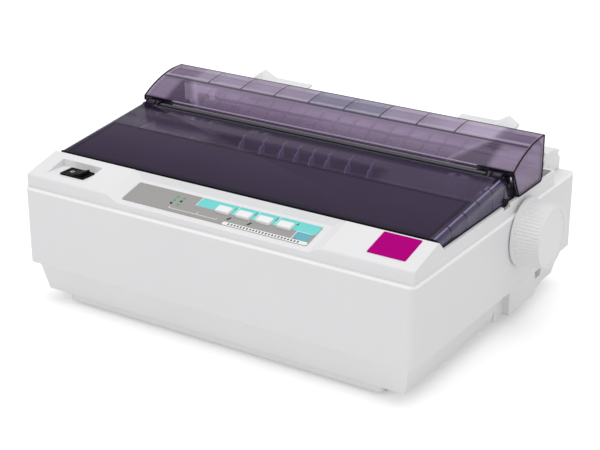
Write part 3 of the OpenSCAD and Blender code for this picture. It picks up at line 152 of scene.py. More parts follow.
def at(x, y, z):
    """A point given in millimetres from the middle of the case front on the table."""
    return Vector((CASE_MIDDLE + x * MM, CASE_FRONT + y * MM, z * MM))


def film_place(node):
    """The sloped frame on top of a film: u to the right, v up the slope, w off its face."""
    low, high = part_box(node)
    corner = Vector((low.x, low.y, low.z + FILM_T * math.cos(DECK_SLOPE)))
    return Matrix.Translation(corner) @ Matrix.Rotation(DECK_SLOPE, 4, "X")


# ---------------- node trees


class Socket:
    """A socket of a node tree; arithmetic on it adds Math nodes."""

    def __init__(self, tree, link):
        self.tree = tree
        self.link = link

    def math(self, operation, *values):
        return self.tree.node("ShaderNodeMath", {"operation": operation}, dict(enumerate(values)))

    def __add__(self, other):
        return self.math("ADD", self, other)

    def __radd__(self, other):
        return self.math("ADD", other, self)

    def __sub__(self, other):
        return self.math("SUBTRACT", self, other)

    def __rsub__(self, other):
        return self.math("SUBTRACT", other, self)

    def __mul__(self, other):
        return self.math("MULTIPLY", self, other)

    def __truediv__(self, other):
        return self.math("DIVIDE", self, other)

    def __abs__(self):
        return self.math("ABSOLUTE", self)

    def clamped(self):
        return self.tree.node("ShaderNodeClamp", {}, {"Value": self})


class Tree:
    """A node tree with one method for every kind of node."""

    def __init__(self, tree):
        self.tree = tree

    def node(self, kind, settings=None, sockets=None, output=0):
        made = self.tree.nodes.new(kind)
        for key, value in (settings or {}).items():
            if key == "stops":
                self.set_stops(made.color_ramp, value)
            else:
                setattr(made, key, value)
        for key, value in (sockets or {}).items():
            if isinstance(value, Socket):
                self.tree.links.new(value.link, made.inputs[key])
            else:
                made.inputs[key].default_value = value
        return Socket(self, made.outputs[output]) if made.outputs else None

    @staticmethod
    def set_stops(ramp, stops):
        while len(ramp.elements) < len(stops):
            ramp.elements.new(0.5)
        for element, (position, colour) in zip(ramp.elements, stops):
            element.position = position
            element.color = colour


class Finish(Tree):
    """The shader tree of one material, read in Object coordinates."""

    def __init__(self, name):
        self.material = bpy.data.materials.new(name)
        self.material.use_nodes = True
        super().__init__(self.material.node_tree)
        self.tree.nodes.clear()
        self.place = self.node("ShaderNodeTexCoord", output="Object")

    def noise(self, size, detail=2.0, stretch=(1.0, 1.0, 1.0)):
        """Noise of 0 to 1 whose grains are about size across; stretch lengthens them along an axis."""
        factors = tuple(1.0 / s for s in stretch)
        place = self.node("ShaderNodeVectorMath", {"operation": "MULTIPLY"}, {0: self.place, 1: factors})
        sockets = {"Vector": place, "Scale": 1.0 / size, "Detail": detail}
        return self.node("ShaderNodeTexNoise", {}, sockets)

    def axis(self, name):
        return self.node("ShaderNodeSeparateXYZ", {}, {"Vector": self.place}, output=name)

    def ramp(self, value, start, end):
        """0 up to start, 1 from end on; start may be the larger of the two."""
        return ((value - start) / (end - start)).clamped()

    def distance(self, point):
        settings = {"operation": "DISTANCE"}
        return self.node("ShaderNodeVectorMath", settings, {0: self.place, 1: point}, output="Value")

    def line_at(self, value, middle, half):
        """1 on a painted line round value = middle, with soft sides."""
        return self.ramp(abs(value - middle), half * 1.4, half * 0.7)

    def mix(self, factor, a, b):
        """Colour a where the factor is 0 and b where it is 1."""
        a, b = (c if isinstance(c, Socket) else rgba(c) for c in (a, b))
        return self.node("ShaderNodeMix", {"data_type": "RGBA"}, {0: factor, 6: a, 7: b}, output=2)

    def drifting(self, factor, colour, low, high):
        """One colour between a lower and a higher level."""
        return self.mix(factor, rgba(colour, low), rgba(colour, high))

    def bump(self, height, depth):
        return self.node("ShaderNodeBump", {}, {"Height": height, "Distance": depth})

    def principled(self, **sockets):
        names = {"colour": "Base Color", "roughness": "Roughness", "metallic": "Metallic",
                 "specular": "Specular IOR Level", "normal": "Normal"}
        return self.node("ShaderNodeBsdfPrincipled", {}, {names[k]: v for k, v in sockets.items()})

    def finish(self, shader):
        self.node("ShaderNodeOutputMaterial", {}, {"Surface": shader})
        return self.material

    def opaque(self, relief, depth, **sockets):
        """The finish of an opaque surface, with a relief of a given depth."""
        return self.finish(self.principled(normal=self.bump(relief, depth), **sockets))


class PlacedFinish(Finish):
    """A finish that knows how far a place lies right, out and back on the case."""

    def __init__(self, name):
        super().__init__(name)
        self.right = self.axis("X") - CASE_MIDDLE
        self.out = abs(self.right)
        self.back = self.axis("Y") - CASE_FRONT

    def zone(self, name):
        """0 before a painted zone and 1 inside it, with a soft side between."""
        along, begins, full = ZONES[name]
        return self.ramp(getattr(self, along), begins * MM, full * MM)

    def knuckles(self):
        """The dark knuckles round the rod at both ends of the covers."""
        rise = self.axis("Z") - ROD_Z
        away = self.back - ROD_Y
        return self.ramp(away * away + rise * rise, *KNUCKLE_DARK) * self.zone("knuckles")

    def smoke(self, tint, colour, haze, roughness, ripple, specular=0.35):
        """Shader of smoked plastic: a clear tint under a share of haze in a colour of its own."""
        sheen = self.principled(colour=colour, roughness=roughness, specular=specular,
                                normal=self.bump(ripple, 0.04 * MM))
        clear = self.node("ShaderNodeBsdfTransparent", {}, {"Color": rgba(tint)})
        return self.node("ShaderNodeMixShader", {}, {0: haze, 1: clear, 2: sheen})


class Geometry(Tree):
    """The group of a Geometry Nodes modifier: named inputs, and one dressed mesh at its end."""

    def __init__(self, name, inputs):
        super().__init__(bpy.data.node_groups.new(name, "GeometryNodeTree"))
        sockets = self.tree.interface
        sockets.new_socket("Geometry", in_out="INPUT", socket_type="NodeSocketGeometry")
        for label, kind in inputs.items():
            sockets.new_socket(label, in_out="INPUT", socket_type=kind)
        sockets.new_socket("Material", in_out="INPUT", socket_type="NodeSocketMaterial")
        sockets.new_socket("Geometry", in_out="OUTPUT", socket_type="NodeSocketGeometry")
        self.entry = self.tree.nodes.new("NodeGroupInput")

    def given(self, label):
        return Socket(self, self.entry.outputs[label])

    def deliver(self, geometry):
        whole = self.node("GeometryNodeRealizeInstances", {}, {"Geometry": geometry})
        sockets = {"Geometry": whole, "Material": self.given("Material")}
        self.node("NodeGroupOutput", {}, {"Geometry": self.node("GeometryNodeSetMaterial", {}, sockets)})
        return self.tree

    @staticmethod
    def worked(name, mesh, group, values):
        """The mesh that a group makes of another one, with its inputs set before it runs."""
        working = linked(name + "_working", mesh)
        modifier = working.modifiers.new("Nodes", "NODES")
        modifier.node_group = group
        for item in group.interface.items_tree:
            if item.in_out == "INPUT" and item.name in values:
                modifier[item.identifier] = values[item.name]
        return applied(working)


def outline_group():
    """Thin round piping along every edge that is sharper than an angle."""
    g = Geometry("cover_outline", {"Angle": "NodeSocketFloat", "Radius": "NodeSocketFloat"})
    turn = g.node("GeometryNodeInputMeshEdgeAngle")
    sharp = turn.math("GREATER_THAN", turn, g.given("Angle"))
    line = g.node("GeometryNodeMeshToCurve", {}, {"Mesh": g.given("Geometry"), "Selection": sharp})
    ring = g.node("GeometryNodeCurvePrimitiveCircle", {}, {"Resolution": 6, "Radius": g.given("Radius")})
    sockets = {"Curve": line, "Profile Curve": ring, "Fill Caps": True}
    return g.deliver(g.node("GeometryNodeCurveToMesh", {}, sockets))


def row_group():
    """Copies of a small part in a straight row."""
    g = Geometry("row_of_parts", {"Count": "NodeSocketInt", "Step": "NodeSocketVector"})
    sockets = {"Count": g.given("Count"), "Offset": g.given("Step")}
    line = g.node("GeometryNodeMeshLine", {"mode": "OFFSET"}, sockets)
    sockets = {"Points": line, "Instance": g.given("Geometry")}
    return g.deliver(g.node("GeometryNodeInstanceOnPoints", {}, sockets))


def rgba(colour, level=1.0):
    """The colour with its levels scaled, as a socket takes it."""
    return tuple(min(1.0, c * level) for c in colour[:3]) + (1.0,)


# ---------------- finishes


def moulded_plastic(name, colour, roughness=0.45, grain=0.6 * MM, relief=0.02 * MM, mottle=0.02,
                    specular=0.4, highlight_at=()):
    """Moulded plastic with a fine sparked grain and a slight drift of its colour.

    The heights in the last argument carry a painted highlight: a paler line along an edge."""
    f = Finish(name)
    fine = f.noise(grain)
    colour = f.drifting(f.noise(70 * MM, detail=3.0), colour, 1 - mottle, 1 + mottle)
    # Painted highlight: a paler line at each given height, where an edge is rounded
    for height in highlight_at:
        colour = f.mix(f.line_at(f.axis("Z"), height, 0.9 * MM) * 0.8, colour, (0.97, 0.97, 0.97))
    roughness = fine * 0.1 + (roughness - 0.05)
    return f.opaque(fine, relief, colour=colour, roughness=roughness, specular=specular)


def frosted_hood(name, looks):
    """Smoked hood: a frosted field with arched ends, a long rib with cells behind it, and shaded ends, with
    painted shade and painted highlights in its colour.
    """
    f = PlacedFinish(name)
    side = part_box("rear_hood")[1].x - CASE_MIDDLE
    arch = f.back * looks.hood_arch_slope + looks.hood_arch_start
    field = f.ramp(f.out, arch + 3 * MM, arch - 3 * MM)
    lit_arch = f.ramp(f.out, arch - 7 * MM, arch - 5 * MM) * field
    rear = f.zone("hood_rear")
    wall = f.ramp(f.out, side - 3 * MM, side - 2 * MM)
    top = f.ramp(f.out, side - 1 * MM, side - 2 * MM)
    cloud = f.noise(32 * MM, detail=4.0)
    shade = f.noise(90 * MM, detail=1.0)

    # Inside the frosted field: painted shade darkens it to the front, with faint painted shadows of the
    # slats under it
    middle = f.mix(f.zone("hood_body"), looks.hood_front_body, looks.hood_body)
    middle = f.mix(f.zone("hood_rear_body"), middle, looks.hood_rear_body)
    middle = f.mix(shade * 0.5 * (1.0 - rear), middle, looks.hood_front_body)
    slats = (f.right + cloud * (9 * MM)) / (17 * MM)
    slats = f.ramp(slats.math("PINGPONG", slats, 0.5), 0.12, 0.03) * f.zone("hood_slats")
    slats = slats + f.line_at(f.back, 172 * MM + cloud * (5 * MM), 1.6 * MM)
    middle = f.mix(slats.clamped() * f.zone("hood_past_front") * 0.3, middle, looks.hood_shade)
    # Painted highlight: a paler rim inside each end of the field, along its arch
    middle = f.mix(lit_arch * 0.35, middle, looks.hood_rear_body)

    # Outside it: the shaded gap, the ends, the pale rear, and painted shade in its corners
    gap = f.mix(rear, looks.hood_shade, looks.hood_rear_body)
    colour = f.mix(field, gap, middle)
    colour = f.mix(f.zone("hood_ends") * (1.0 - rear * 0.5), colour, rgba(looks.hood_body, 0.9))
    colour = f.mix(rear * f.zone("hood_dim_corners") * 0.75, colour, rgba(looks.hood_front_body, 1.3))
    colour = f.mix(wall, colour, rgba(looks.hood_body, 0.98))
    colour = f.mix(cloud * 0.3, colour, looks.hood_front_body)
    pale = rgba(looks.hood_rear_body, 1.5)
    colour = f.mix(rear * f.zone("hood_pale_right") * f.zone("hood_pale_inside") * 0.6, colour, pale)
    blue = f.zone("hood_blue_left") * f.zone("hood_blue_right") * f.ramp(f.back, HOOD_RIB, HOOD_RIB + MM)
    colour = f.mix(blue * 0.7, colour, looks.hood_blue_body)

    # The long rib, the cells' ribs behind it, the light on the long rib, and the knuckles
    cells = f.right / CELL_PITCH - CELL_FIRST / CELL_PITCH
    cells = f.ramp(cells.math("PINGPONG", cells, 0.5), 0.032, 0.014) * f.zone("hood_cells")
    cells = cells * f.ramp(f.back, HOOD_RIB - MM, HOOD_RIB)
    ribs = (cells + f.line_at(f.back, HOOD_RIB, 1.3 * MM) * top).clamped()
    glints = f.line_at(f.back, HOOD_RIB + 3.4 * MM, 1.2 * MM) * (1.0 - ribs) * top
    colour = f.mix(glints * 0.6, colour, pale)
    dark = (ribs * 0.9 + f.knuckles()).clamped()
    colour = f.mix(dark, colour, looks.rib_colour)
    haze = f.noise(20 * MM) * 0.1 + dark * 0.35 + (looks.hood_haze - 0.05)
    return f.finish(f.smoke(looks.hood_tint, colour, haze, cloud * 0.06 + 0.16, cloud))


def frosted_lid(name, looks):
    """Smoked lid: a frosted field under its front, a clear band behind, and ribbed end walls."""
    f = PlacedFinish(name)
    side = LID_HALF - looks.frost_side
    rear = looks.frost_back
    soft = 0.6 * MM
    field = f.ramp(f.out, side + soft, side - soft) * f.ramp(f.back, rear + soft, rear - soft)
    inner = f.ramp(f.out, side - 2 * MM, side - 4 * MM) * f.ramp(f.back, rear - 2 * MM, rear - 4 * MM)
    inner = inner * f.zone("frost_inside")
    drift = f.noise(60 * MM)

    # The frosted field, darker round its margin
    grain = f.noise(0.9 * MM)
    colour = f.drifting(f.zone("frost_lift") * 0.6 + drift * 0.4, looks.frosted_colour, 0.85, 1.2)
    colour = f.mix(inner, rgba(looks.frosted_colour, 0.6), colour)
    matte = f.principled(colour=colour, roughness=grain * 0.08 + 0.5, specular=0.12,
                         normal=f.bump(grain, 0.02 * MM))

    # The clear plastic round it, with its strip, shoulders, end walls and ribs, and painted shade along its
    # back edge
    ripple = f.noise(25 * MM, detail=1.0)
    body = f.drifting(ripple, looks.lid_body, 0.8, 1.2)
    body = f.mix(f.zone("lid_strip") * f.zone("lid_strip_left"), body, looks.lid_strip)
    body = f.mix(f.zone("lid_dark_back"), body, rgba(looks.rib_colour, 2.5))
    wall = f.ramp(f.out, LID_HALF - 2.3 * MM, LID_HALF - 1.8 * MM)
    glint = f.line_at(f.out, LID_HALF - 2.9 * MM, 0.7 * MM)
    body = f.mix(glint, body, looks.lid_glint)
    body = f.mix(wall, body, looks.lid_wall)
    ribs = 0.0
    for y in LID_RIBS:
        ribs = ribs + f.line_at(f.back, y, 0.8 * MM)
    # Painted shade: the lid's last few millimetres before the rod are darkened
    back_shade = f.ramp(f.back, LID_BACK - 3.4 * MM, LID_BACK - 2.6 * MM)
    dark = (ribs * (wall + glint).clamped() + back_shade + f.knuckles()).clamped()
    body = f.mix(dark, body, looks.rib_colour)
    window = f.zone("window_left") * f.zone("window_right") * f.zone("window_front")
    haze = drift * 0.1 + (looks.lid_haze - 0.05) + (wall + glint + dark).clamped() * 0.5 - window * 0.16
    smoked = f.smoke(looks.lid_tint, body, haze, drift * 0.05 + 0.12, ripple)
    cover = field * (1.0 - wall) * 0.97
    return f.finish(f.node("ShaderNodeMixShader", {}, {0: cover, 1: smoked, 2: matte}))


def cover_edge(name, looks, lit_front):
    """Cut edge of a cover, nearly black, or lit along the hood's front over the rod."""
    f = PlacedFinish(name)
    streak = f.noise(6 * MM, stretch=(6.0, 1.0, 1.0))
    colour = f.drifting(streak, looks.edge_colour, 0.7, 1.4)
    lit = f.zone("hood_lit_front") * f.zone("hood_lit_inside") * lit_front
    colour = f.mix(lit, colour, rgba(looks.hood_rear_body, 0.75))
    return f.finish(f.smoke(looks.lid_tint, colour, streak * 0.06 + 0.92, 0.45, streak, 0.12))


def ribbed_guide(name, rib_places):
    """Dark guide under the lid, with pale ribs at given distances from the middle."""
    f = PlacedFinish(name)
    grain = f.noise(0.6 * MM)
    ribs = 0.0
    for place in rib_places:
        ribs = ribs + f.ramp(abs(f.out - place), 1.3 * MM, 1.1 * MM)
    ground = f.mix(f.noise(20 * MM), (0.05, 0.045, 0.06), (0.09, 0.08, 0.1))
    colour = f.mix(ribs.clamped(), ground, (0.95, 0.92, 0.96))
    return f.opaque(grain, 0.01 * MM, colour=colour, roughness=grain * 0.1 + 0.35, specular=0.4)


def steel(name, colour, roughness=0.28, along="X"):
    """Ground steel, with fine marks that run round or along the axis."""
    f = Finish(name)
    stretch = {"X": (0.06, 1.0, 1.0), "Z": (1.0, 1.0, 0.06)}[along]
    marks = f.noise(1.5 * MM, detail=4.0, stretch=stretch)
    colour = f.drifting(f.noise(18 * MM), colour, 0.88, 1.1)
    roughness = marks * 0.18 + (roughness - 0.09)
    return f.opaque(marks, 0.01 * MM, colour=colour, metallic=1.0, roughness=roughness)


def zinc_sheet(name, colour):
    """Zinc-coated sheet with its faint crystal pattern."""
    f = Finish(name)
    sockets = {"Vector": f.place, "Scale": 1.0 / (7 * MM)}
    crystal = f.node("ShaderNodeTexVoronoi", {}, sockets, output="Distance")
    dust = f.noise(0.7 * MM, detail=3.0)
    colour = f.drifting(crystal.clamped(), colour, 0.85, 1.1)
    return f.opaque(dust, 0.01 * MM, colour=colour, metallic=0.85, roughness=dust * 0.15 + 0.33)


def rubber(name, colour, roughness=0.75, ring=0.0):
    """Matt rubber; ring is the pitch of the grinding rings along X, or 0."""
    f = Finish(name)
    grain = f.noise(0.5 * MM, detail=3.0)
    if ring:
        grain = grain * 0.5 + f.noise(ring, detail=1.0, stretch=(1.0, 80.0, 80.0))
    colour = f.drifting(f.noise(30 * MM), colour, 0.8, 1.3)
    roughness = grain * 0.1 + (roughness - 0.05)
    return f.opaque(grain, 0.02 * MM, colour=colour, roughness=roughness, specular=0.3)


def circuit_board(name, colour, copper):
    """Lacquered board with tracks that show as lighter lines."""
    f = Finish(name)
    sockets = {"Vector": f.place, "Scale": 1.0 / (9 * MM), "Randomness": 0.8}
    settings = {"feature": "DISTANCE_TO_EDGE"}
    edge = f.node("ShaderNodeTexVoronoi", settings, sockets, output="Distance")
    track = (1.0 - edge * 9.0).clamped()
    drift = f.noise(12 * MM, detail=3.0)
    colour = f.mix(track * 0.6, f.drifting(drift, colour, 0.8, 1.2), copper)
    return f.opaque(track, 0.03 * MM, colour=colour, roughness=drift * 0.1 + 0.3, specular=0.5)


def printed_film(name, colour, speckle=0.05, specular=0.35):
    """Printed plastic film with a fine speckle of its ink."""
    f = Finish(name)
    dots = f.noise(0.35 * MM, detail=1.0)
    tone = f.drifting(f.noise(25 * MM), colour, 1 - speckle / 2, 1 + speckle / 2)
    tone = f.mix(dots * speckle, tone, WHITE)
    return f.opaque(dots, 0.004 * MM, colour=tone, roughness=dots * 0.08 + 0.5, specular=specular)


def signal_lamps(name, lit, unlit, dark_spots):
    """Small clear lamps: green all over, except those near the points in dark_spots."""
    f = Finish(name)
    dark = 0.0
    for spot in dark_spots:
        dark = dark + f.ramp(f.distance(spot), 3.6 * MM, 3.5 * MM)
    swirl = f.noise(0.8 * MM)
    colour = f.mix(dark.clamped(), f.drifting(swirl, lit, 0.85, 1.1), unlit)
    return f.finish(f.principled(colour=colour, roughness=swirl * 0.1 + 0.2, specular=0.5))


def inked_ribbon(name, colour):
    """Woven ribbon soaked with ink."""
    f = Finish(name)
    long_threads = f.noise(0.4 * MM, detail=1.0, stretch=(4.0, 1.0, 1.0))
    weave = long_threads + f.noise(0.4 * MM, detail=1.0, stretch=(1.0, 1.0, 4.0))
    tone = f.drifting(weave * 0.5, colour, 0.6, 1.8)
    return f.opaque(weave, 0.05 * MM, colour=tone, roughness=weave * 0.1 + 0.6)


# Finishes in the record's own colours: each slot's kind, and what differs from that kind's usual looks
RECORD_FINISHES = {
    "shaft_steel": (steel, {}),
    "frame_steel": (zinc_sheet, {}),
    "platen_rubber": (rubber, {"roughness": 0.6, "ring": 0.8 * MM}),
    "roller_rubber": (rubber, {}),
    "foot_rubber": (rubber, {}),
    "bush_plastic": (moulded_plastic, {"mottle": 0.05}),
    "gear_plastic": (moulded_plastic, {"roughness": 0.4, "mottle": 0.04}),
    "brass_part": (steel, {"roughness": 0.25}),
    "motor_dark": (moulded_plastic, {"roughness": 0.5, "mottle": 0.15}),
    "dark_plastic": (moulded_plastic, {"mottle": 0.15}),
    "grey_plastic": (moulded_plastic, {"mottle": 0.05}),
    "head_metal": (zinc_sheet, {}),
    "ribbon_ink": (inked_ribbon, {}),
    "belt_rubber": (rubber, {}),
    "ribbon_knob_blue": (moulded_plastic, {"mottle": 0.05}),
    "board_green": (circuit_board, {"copper": (0.12, 0.38, 0.16)}),
    "board_tan": (circuit_board, {"copper": (0.6, 0.42, 0.2)}),
    "socket_black": (moulded_plastic, {"mottle": 0.15}),
    "screw_steel": (steel, {"along": "Z"}),
}


def make_finishes(scene):
    """One finish for each material slot of the record, by the slot's name."""
    case = scene.printer_case
    cover = scene.printer_covers
    panel = scene.printer_panel
    film = film_place("panel_overlay")
    dark_lamps = [film @ Vector((u, v, 0.0)) for u, v in UNLIT_LAMPS]
    smooth = {"roughness": 0.4, "relief": 0.01 * MM}
    dressed = {
        # The case has a painted highlight just under its ledge's edge
        "case_white": (moulded_plastic, case.case_colour,
                       {"grain": case.grain, "highlight_at": (LEDGE_Z - 1.1 * MM,)}),
        "tray_white": (moulded_plastic, case.tray_colour, {"grain": case.grain}),
        "knob_white": (moulded_plastic, case.knob_colour, smooth),
        "guide_white": (moulded_plastic, case.guide_colour, smooth),
        "button_white": (moulded_plastic, panel.button_colour, {"roughness": 0.35, "relief": 0.01 * MM}),
        "panel_grey": (printed_film, panel.film_colour, {}),
        "badge_magenta": (printed_film, panel.badge_colour, {"speckle": 0.003, "specular": 0.0}),
        "led_clear": (signal_lamps, panel.lamp_colour,
                      {"unlit": (0.02, 0.02, 0.02), "dark_spots": dark_lamps}),
        "switch_black": (moulded_plastic, case.switch_colour,
                         {"roughness": 0.4, "relief": 0.004 * MM, "mottle": 0.2, "specular": 0.06}),
        "lid_smoke": (frosted_lid, cover, {}),
        "hood_smoke": (frosted_hood, cover, {}),
        "rod_steel": (moulded_plastic, cover.rod_colour,
                      {"roughness": 0.35, "relief": 0.004 * MM, "mottle": 0.15}),
    }
    colours = {row["slot"]: row["base_color"] for row in frame["record"]["materials"]}
    for slot, (make, settings) in RECORD_FINISHES.items():
        dressed[slot] = (make, colours[slot], settings)
    return {slot: make(slot + "_finish", looks, **settings)
            for slot, (make, looks, settings) in dressed.items()}


FINISHES = {}


def finish_of(slot):
    """The finish of a material slot; all are made when the first is asked for."""
    if not FINISHES:
        FINISHES.update(make_finishes(bpy.context.scene))
    return FINISHES[slot]


# ---------------- mesh helpers


def slot_of(node):
    """The material slot that the frame gives to a CAD node."""
    return frame["nodes"][node].data.materials[0].name.split(".")[0]


def body_of(node):
    return frame["nodes"][node]["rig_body"]


def linked(name, data):
    """A new object in the scene."""
    obj = bpy.data.objects.new(name, data)
    bpy.context.scene.collection.objects.link(obj)
    return obj


def add_piece(name, mesh, body, slot, material=None):
    """A piece that rides on a body; a mesh without a material takes the given one or its slot's."""
    piece = linked(name, mesh)
    if not mesh.materials:
        mesh.materials.append(material or finish_of(slot))
    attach(piece, body)
    return piece


def mesh_from(bm, name, turn_out=True):
    """A mesh of what was drawn, with its faces turned outwards unless they already are."""
    if turn_out:
        bmesh.ops.recalc_face_normals(bm, faces=bm.faces)
    mesh = bpy.data.meshes.new(name)
    bm.to_mesh(mesh)
    bm.free()
    return mesh


def applied(piece):
    """The piece's mesh with its modifiers worked in; the piece itself is removed."""
    depsgraph = bpy.context.evaluated_depsgraph_get()
    mesh = bpy.data.meshes.new_from_object(piece.evaluated_get(depsgraph))
    bpy.data.objects.remove(piece)
    return mesh


def merged(node):
    """A copy of a CAD node's mesh with its seams closed and its flat faces whole."""
    bm = bmesh.new()
    bm.from_mesh(frame["nodes"][node].data)
    bmesh.ops.remove_doubles(bm, verts=bm.verts, dist=0.002 * MM)
    bmesh.ops.dissolve_limit(bm, angle_limit=math.radians(1.0), verts=bm.verts, edges=bm.edges)
    for face in bm.faces:
        face.smooth = True
        face.material_index = 0
    return mesh_from(bm, node + "_merged", turn_out=False)


def softened(node, width):
    """Stands for a CAD node with the same shape, its sharp edges broken by a small round."""
    slot = slot_of(node)
    mesh = merged(node)
    mesh.materials.clear()
    mesh.materials.append(finish_of(slot))
    working = linked(node + "_working", mesh)
    bevel = working.modifiers.new("Round", "BEVEL")
    bevel.width = width
    bevel.segments = 2
    bevel.limit_method = "ANGLE"
    bevel.angle_limit = SHARP
    bevel.miter_outer = "MITER_ARC"
    bevel.harden_normals = True
    piece = add_piece(node + "_shell", applied(working), body_of(node), slot)
    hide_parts(node)
    return piece


def outlined(node, group, radius, material):
    """Draws a CAD node's sharp edges as thin dark lines in its own plastic."""
    values = {"Angle": SHARP, "Radius": radius, "Material": material}
    mesh = Geometry.worked(node, merged(node), group, values)
    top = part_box(node)[1].z
    for vertex in mesh.vertices:
        vertex.co.z = min(vertex.co.z, top)
    add_piece(node + "_edges", mesh, body_of(node), slot_of(node))


def row_piece(name, bars, count, pitch, body, slot, material=None, place=Matrix.Identity(4)):
    """Repeats small bars, given as low and high corners in metres, along X."""
    bm = bmesh.new()
    for low, high in bars:
        plate(bm, rect(low[0], low[1], high[0], high[1]), low[2], high[2], place)
    values = {"Count": count, "Step": (pitch, 0.0, 0.0), "Material": material or finish_of(slot)}
    mesh = Geometry.worked(name, mesh_from(bm, name + "_bar"), row_group(), values)
    add_piece(name, mesh, body, slot)


def plate(bm, outline, low, high, place=Matrix.Identity(4)):
    """Adds a prism over a flat outline of (u, v) points, from the height low to high."""
    foot, head = ([bm.verts.new(place @ Vector((u, v, w))) for u, v in outline] for w in (low, high))
    bm.faces.new(reversed(foot))
    bm.faces.new(head)
    join_rings(bm, foot, head)


def join_rings(bm, inner, outer):
    """Faces between two closed rings of as many points."""
    for i in range(len(inner)):
        j = (i + 1) % len(inner)
        bm.faces.new((inner[i], inner[j], outer[j], outer[i]))


def rect(u0, v0, u1, v1, radius=0.0):
    """Outline of a rectangle, with round corners if a radius is given."""
    if not radius:
        return [(u0, v0), (u1, v0), (u1, v1), (u0, v1)]
    corners = ((u1 - radius, v0 + radius, -90), (u1 - radius, v1 - radius, 0),
               (u0 + radius, v1 - radius, 90), (u0 + radius, v0 + radius, 180))
    steps = 4
    points = []
    for u, v, start in corners:
        for i in range(steps + 1):
            angle = math.radians(start + 90 * i / steps)
            points.append((u + radius * math.cos(angle), v + radius * math.sin(angle)))
    return points


def in_metres(outline):
    return [(u * MM, v * MM) for u, v in outline]


# ---------------- sizes and colours


def paint(name, description, default):
    return FloatVectorProperty(name=name, description=description, subtype="COLOR", size=3,
                               min=0.0, max=1.0, default=default)


def length(name, description, default, most=0.1):
    return FloatProperty(name=name, description=description, unit="LENGTH", precision=5,
                         min=0.0, max=most, default=default)


def share(name, description, default):
    return FloatProperty(name=name, description=description, min=0.0, max=1.0, default=default)


class CaseLooks(PropertyGroup):
    case_colour: paint("Case", "Colour of the upper case", (0.795, 0.787, 0.80))
    tray_colour: paint("Tray", "Colour of the lower case", (0.83, 0.825, 0.835))
    knob_colour: paint("Knob", "Colour of the platen knob", (0.82, 0.82, 0.825))
    switch_colour: paint("Switch", "Colour of the power switch", (0.004, 0.004, 0.0045))
    guide_colour: paint("Sheet guide", "Colour of the sheet guide and its edge guides", (0.82, 0.82, 0.825))
    fine_round: length("Fine round", "Round on the edges of small mouldings", 0.3 * MM)
    ring_radius: length("Ring mark", "Radius of the ring on the power switch", 1.7 * MM)
    grain: length("Grain", "Size of the moulded grain", 0.6 * MM)


class CoverLooks(PropertyGroup):
    lid_tint: paint("Lid tint", "Light that passes one face of the lid", (0.72, 0.65, 0.80))
    lid_body: paint("Lid body", "Light that the clear part of the lid scatters", (0.13, 0.095, 0.17))
    frosted_colour: paint("Frosted field", "Colour of the lid's frosted front", (0.0335, 0.0215, 0.050))
    hood_tint: paint("Hood tint", "Light that passes one face of the hood", (0.68, 0.61, 0.74))
    hood_body: paint("Hood body", "Light that the hood scatters", (0.41, 0.315, 0.47))
    # Painted shade: the hood's darker colour along its front edge, also used in its dim corners and clouds
    hood_front_body: paint("Hood front", "The same along the hood's front edge", (0.165, 0.11, 0.20))
    hood_rear_body: paint("Hood rear", "The same behind the long rib", (0.53, 0.45, 0.60))
    hood_blue_body: paint("Hood cells", "Bluish light in two of the cells", (0.27, 0.28, 0.40))
    rib_colour: paint("Ribs", "Dark lines of the moulded ribs and knuckles", (0.020, 0.012, 0.034))
    lid_strip: paint("Lid strip", "Pale strip towards the rod, at its left", (0.19, 0.16, 0.21))
    lid_glint: paint("Lid shoulder", "Bluish light along the lid's round shoulders", (0.24, 0.22, 0.36))
    lid_wall: paint("Lid ends", "Light that the lid's end walls scatter", (0.075, 0.06, 0.125))
    hood_shade: paint("Hood shade", "Dark stretch between the field and the ends", (0.085, 0.06, 0.10))
    edge_colour: paint("Edge", "Colour of the covers' dark edges", (0.006, 0.004, 0.010))
    rod_colour: paint("Rod", "Colour of the hinge rod", (0.05, 0.053, 0.05))
    lid_haze: share("Lid haze", "Share of light scattered by the clear lid", 0.36)
    hood_haze: share("Hood haze", "Share of light scattered by the hood", 0.55)
    hood_arch_slope: FloatProperty(name="Arch slope", min=0.0, default=0.8,
                                   description="Widening of the hood's frosted field to the back")
    hood_arch_start: FloatProperty(name="Arch start", default=-0.6 * MM, precision=5,
                                   description="Half width of the frosted field at the case front")
    edge_width: length("Edge width", "Width of the dark line along the covers' edges", 1.35 * MM)
    frost_side: length("Frost margin", "Clear strip left at each side of the lid", 6.5 * MM)
    frost_back: length("Frost back", "Back of the frosted field, from the case front", 108 * MM, most=0.2)


class PanelLooks(PropertyGroup):
    film_colour: paint("Film", "Ground of the printed panel", (0.325, 0.312, 0.307))
    band_colour: paint("Band", "Band behind the buttons", (0.14, 0.66, 0.64))
    box_colour: paint("Box", "Small box at the right of the band", (0.10, 0.42, 0.52))
    badge_colour: paint("Badge", "Bare plate at the right of the deck", (0.43, 0.001, 0.20))
    button_colour: paint("Buttons", "Colour of the push buttons", (0.86, 0.86, 0.86))
    lamp_colour: paint("Lamps", "Colour of the lit lamps", (0.02, 0.55, 0.14))
    number_colour: paint("Numbers", "Ink of the plain numbers", (0.02, 0.05, 0.06))
    number_height: length("Number height", "Height of the plain numbers", 3.8 * MM)
    number_shift: length("Number shift", "How far a number stands right of its button's middle", 7.5 * MM)
    line_width: length("Line width", "Width of the printed lines", 0.45 * MM)
    ink_thickness: length("Ink", "Height of the print over the film", 0.05 * MM)


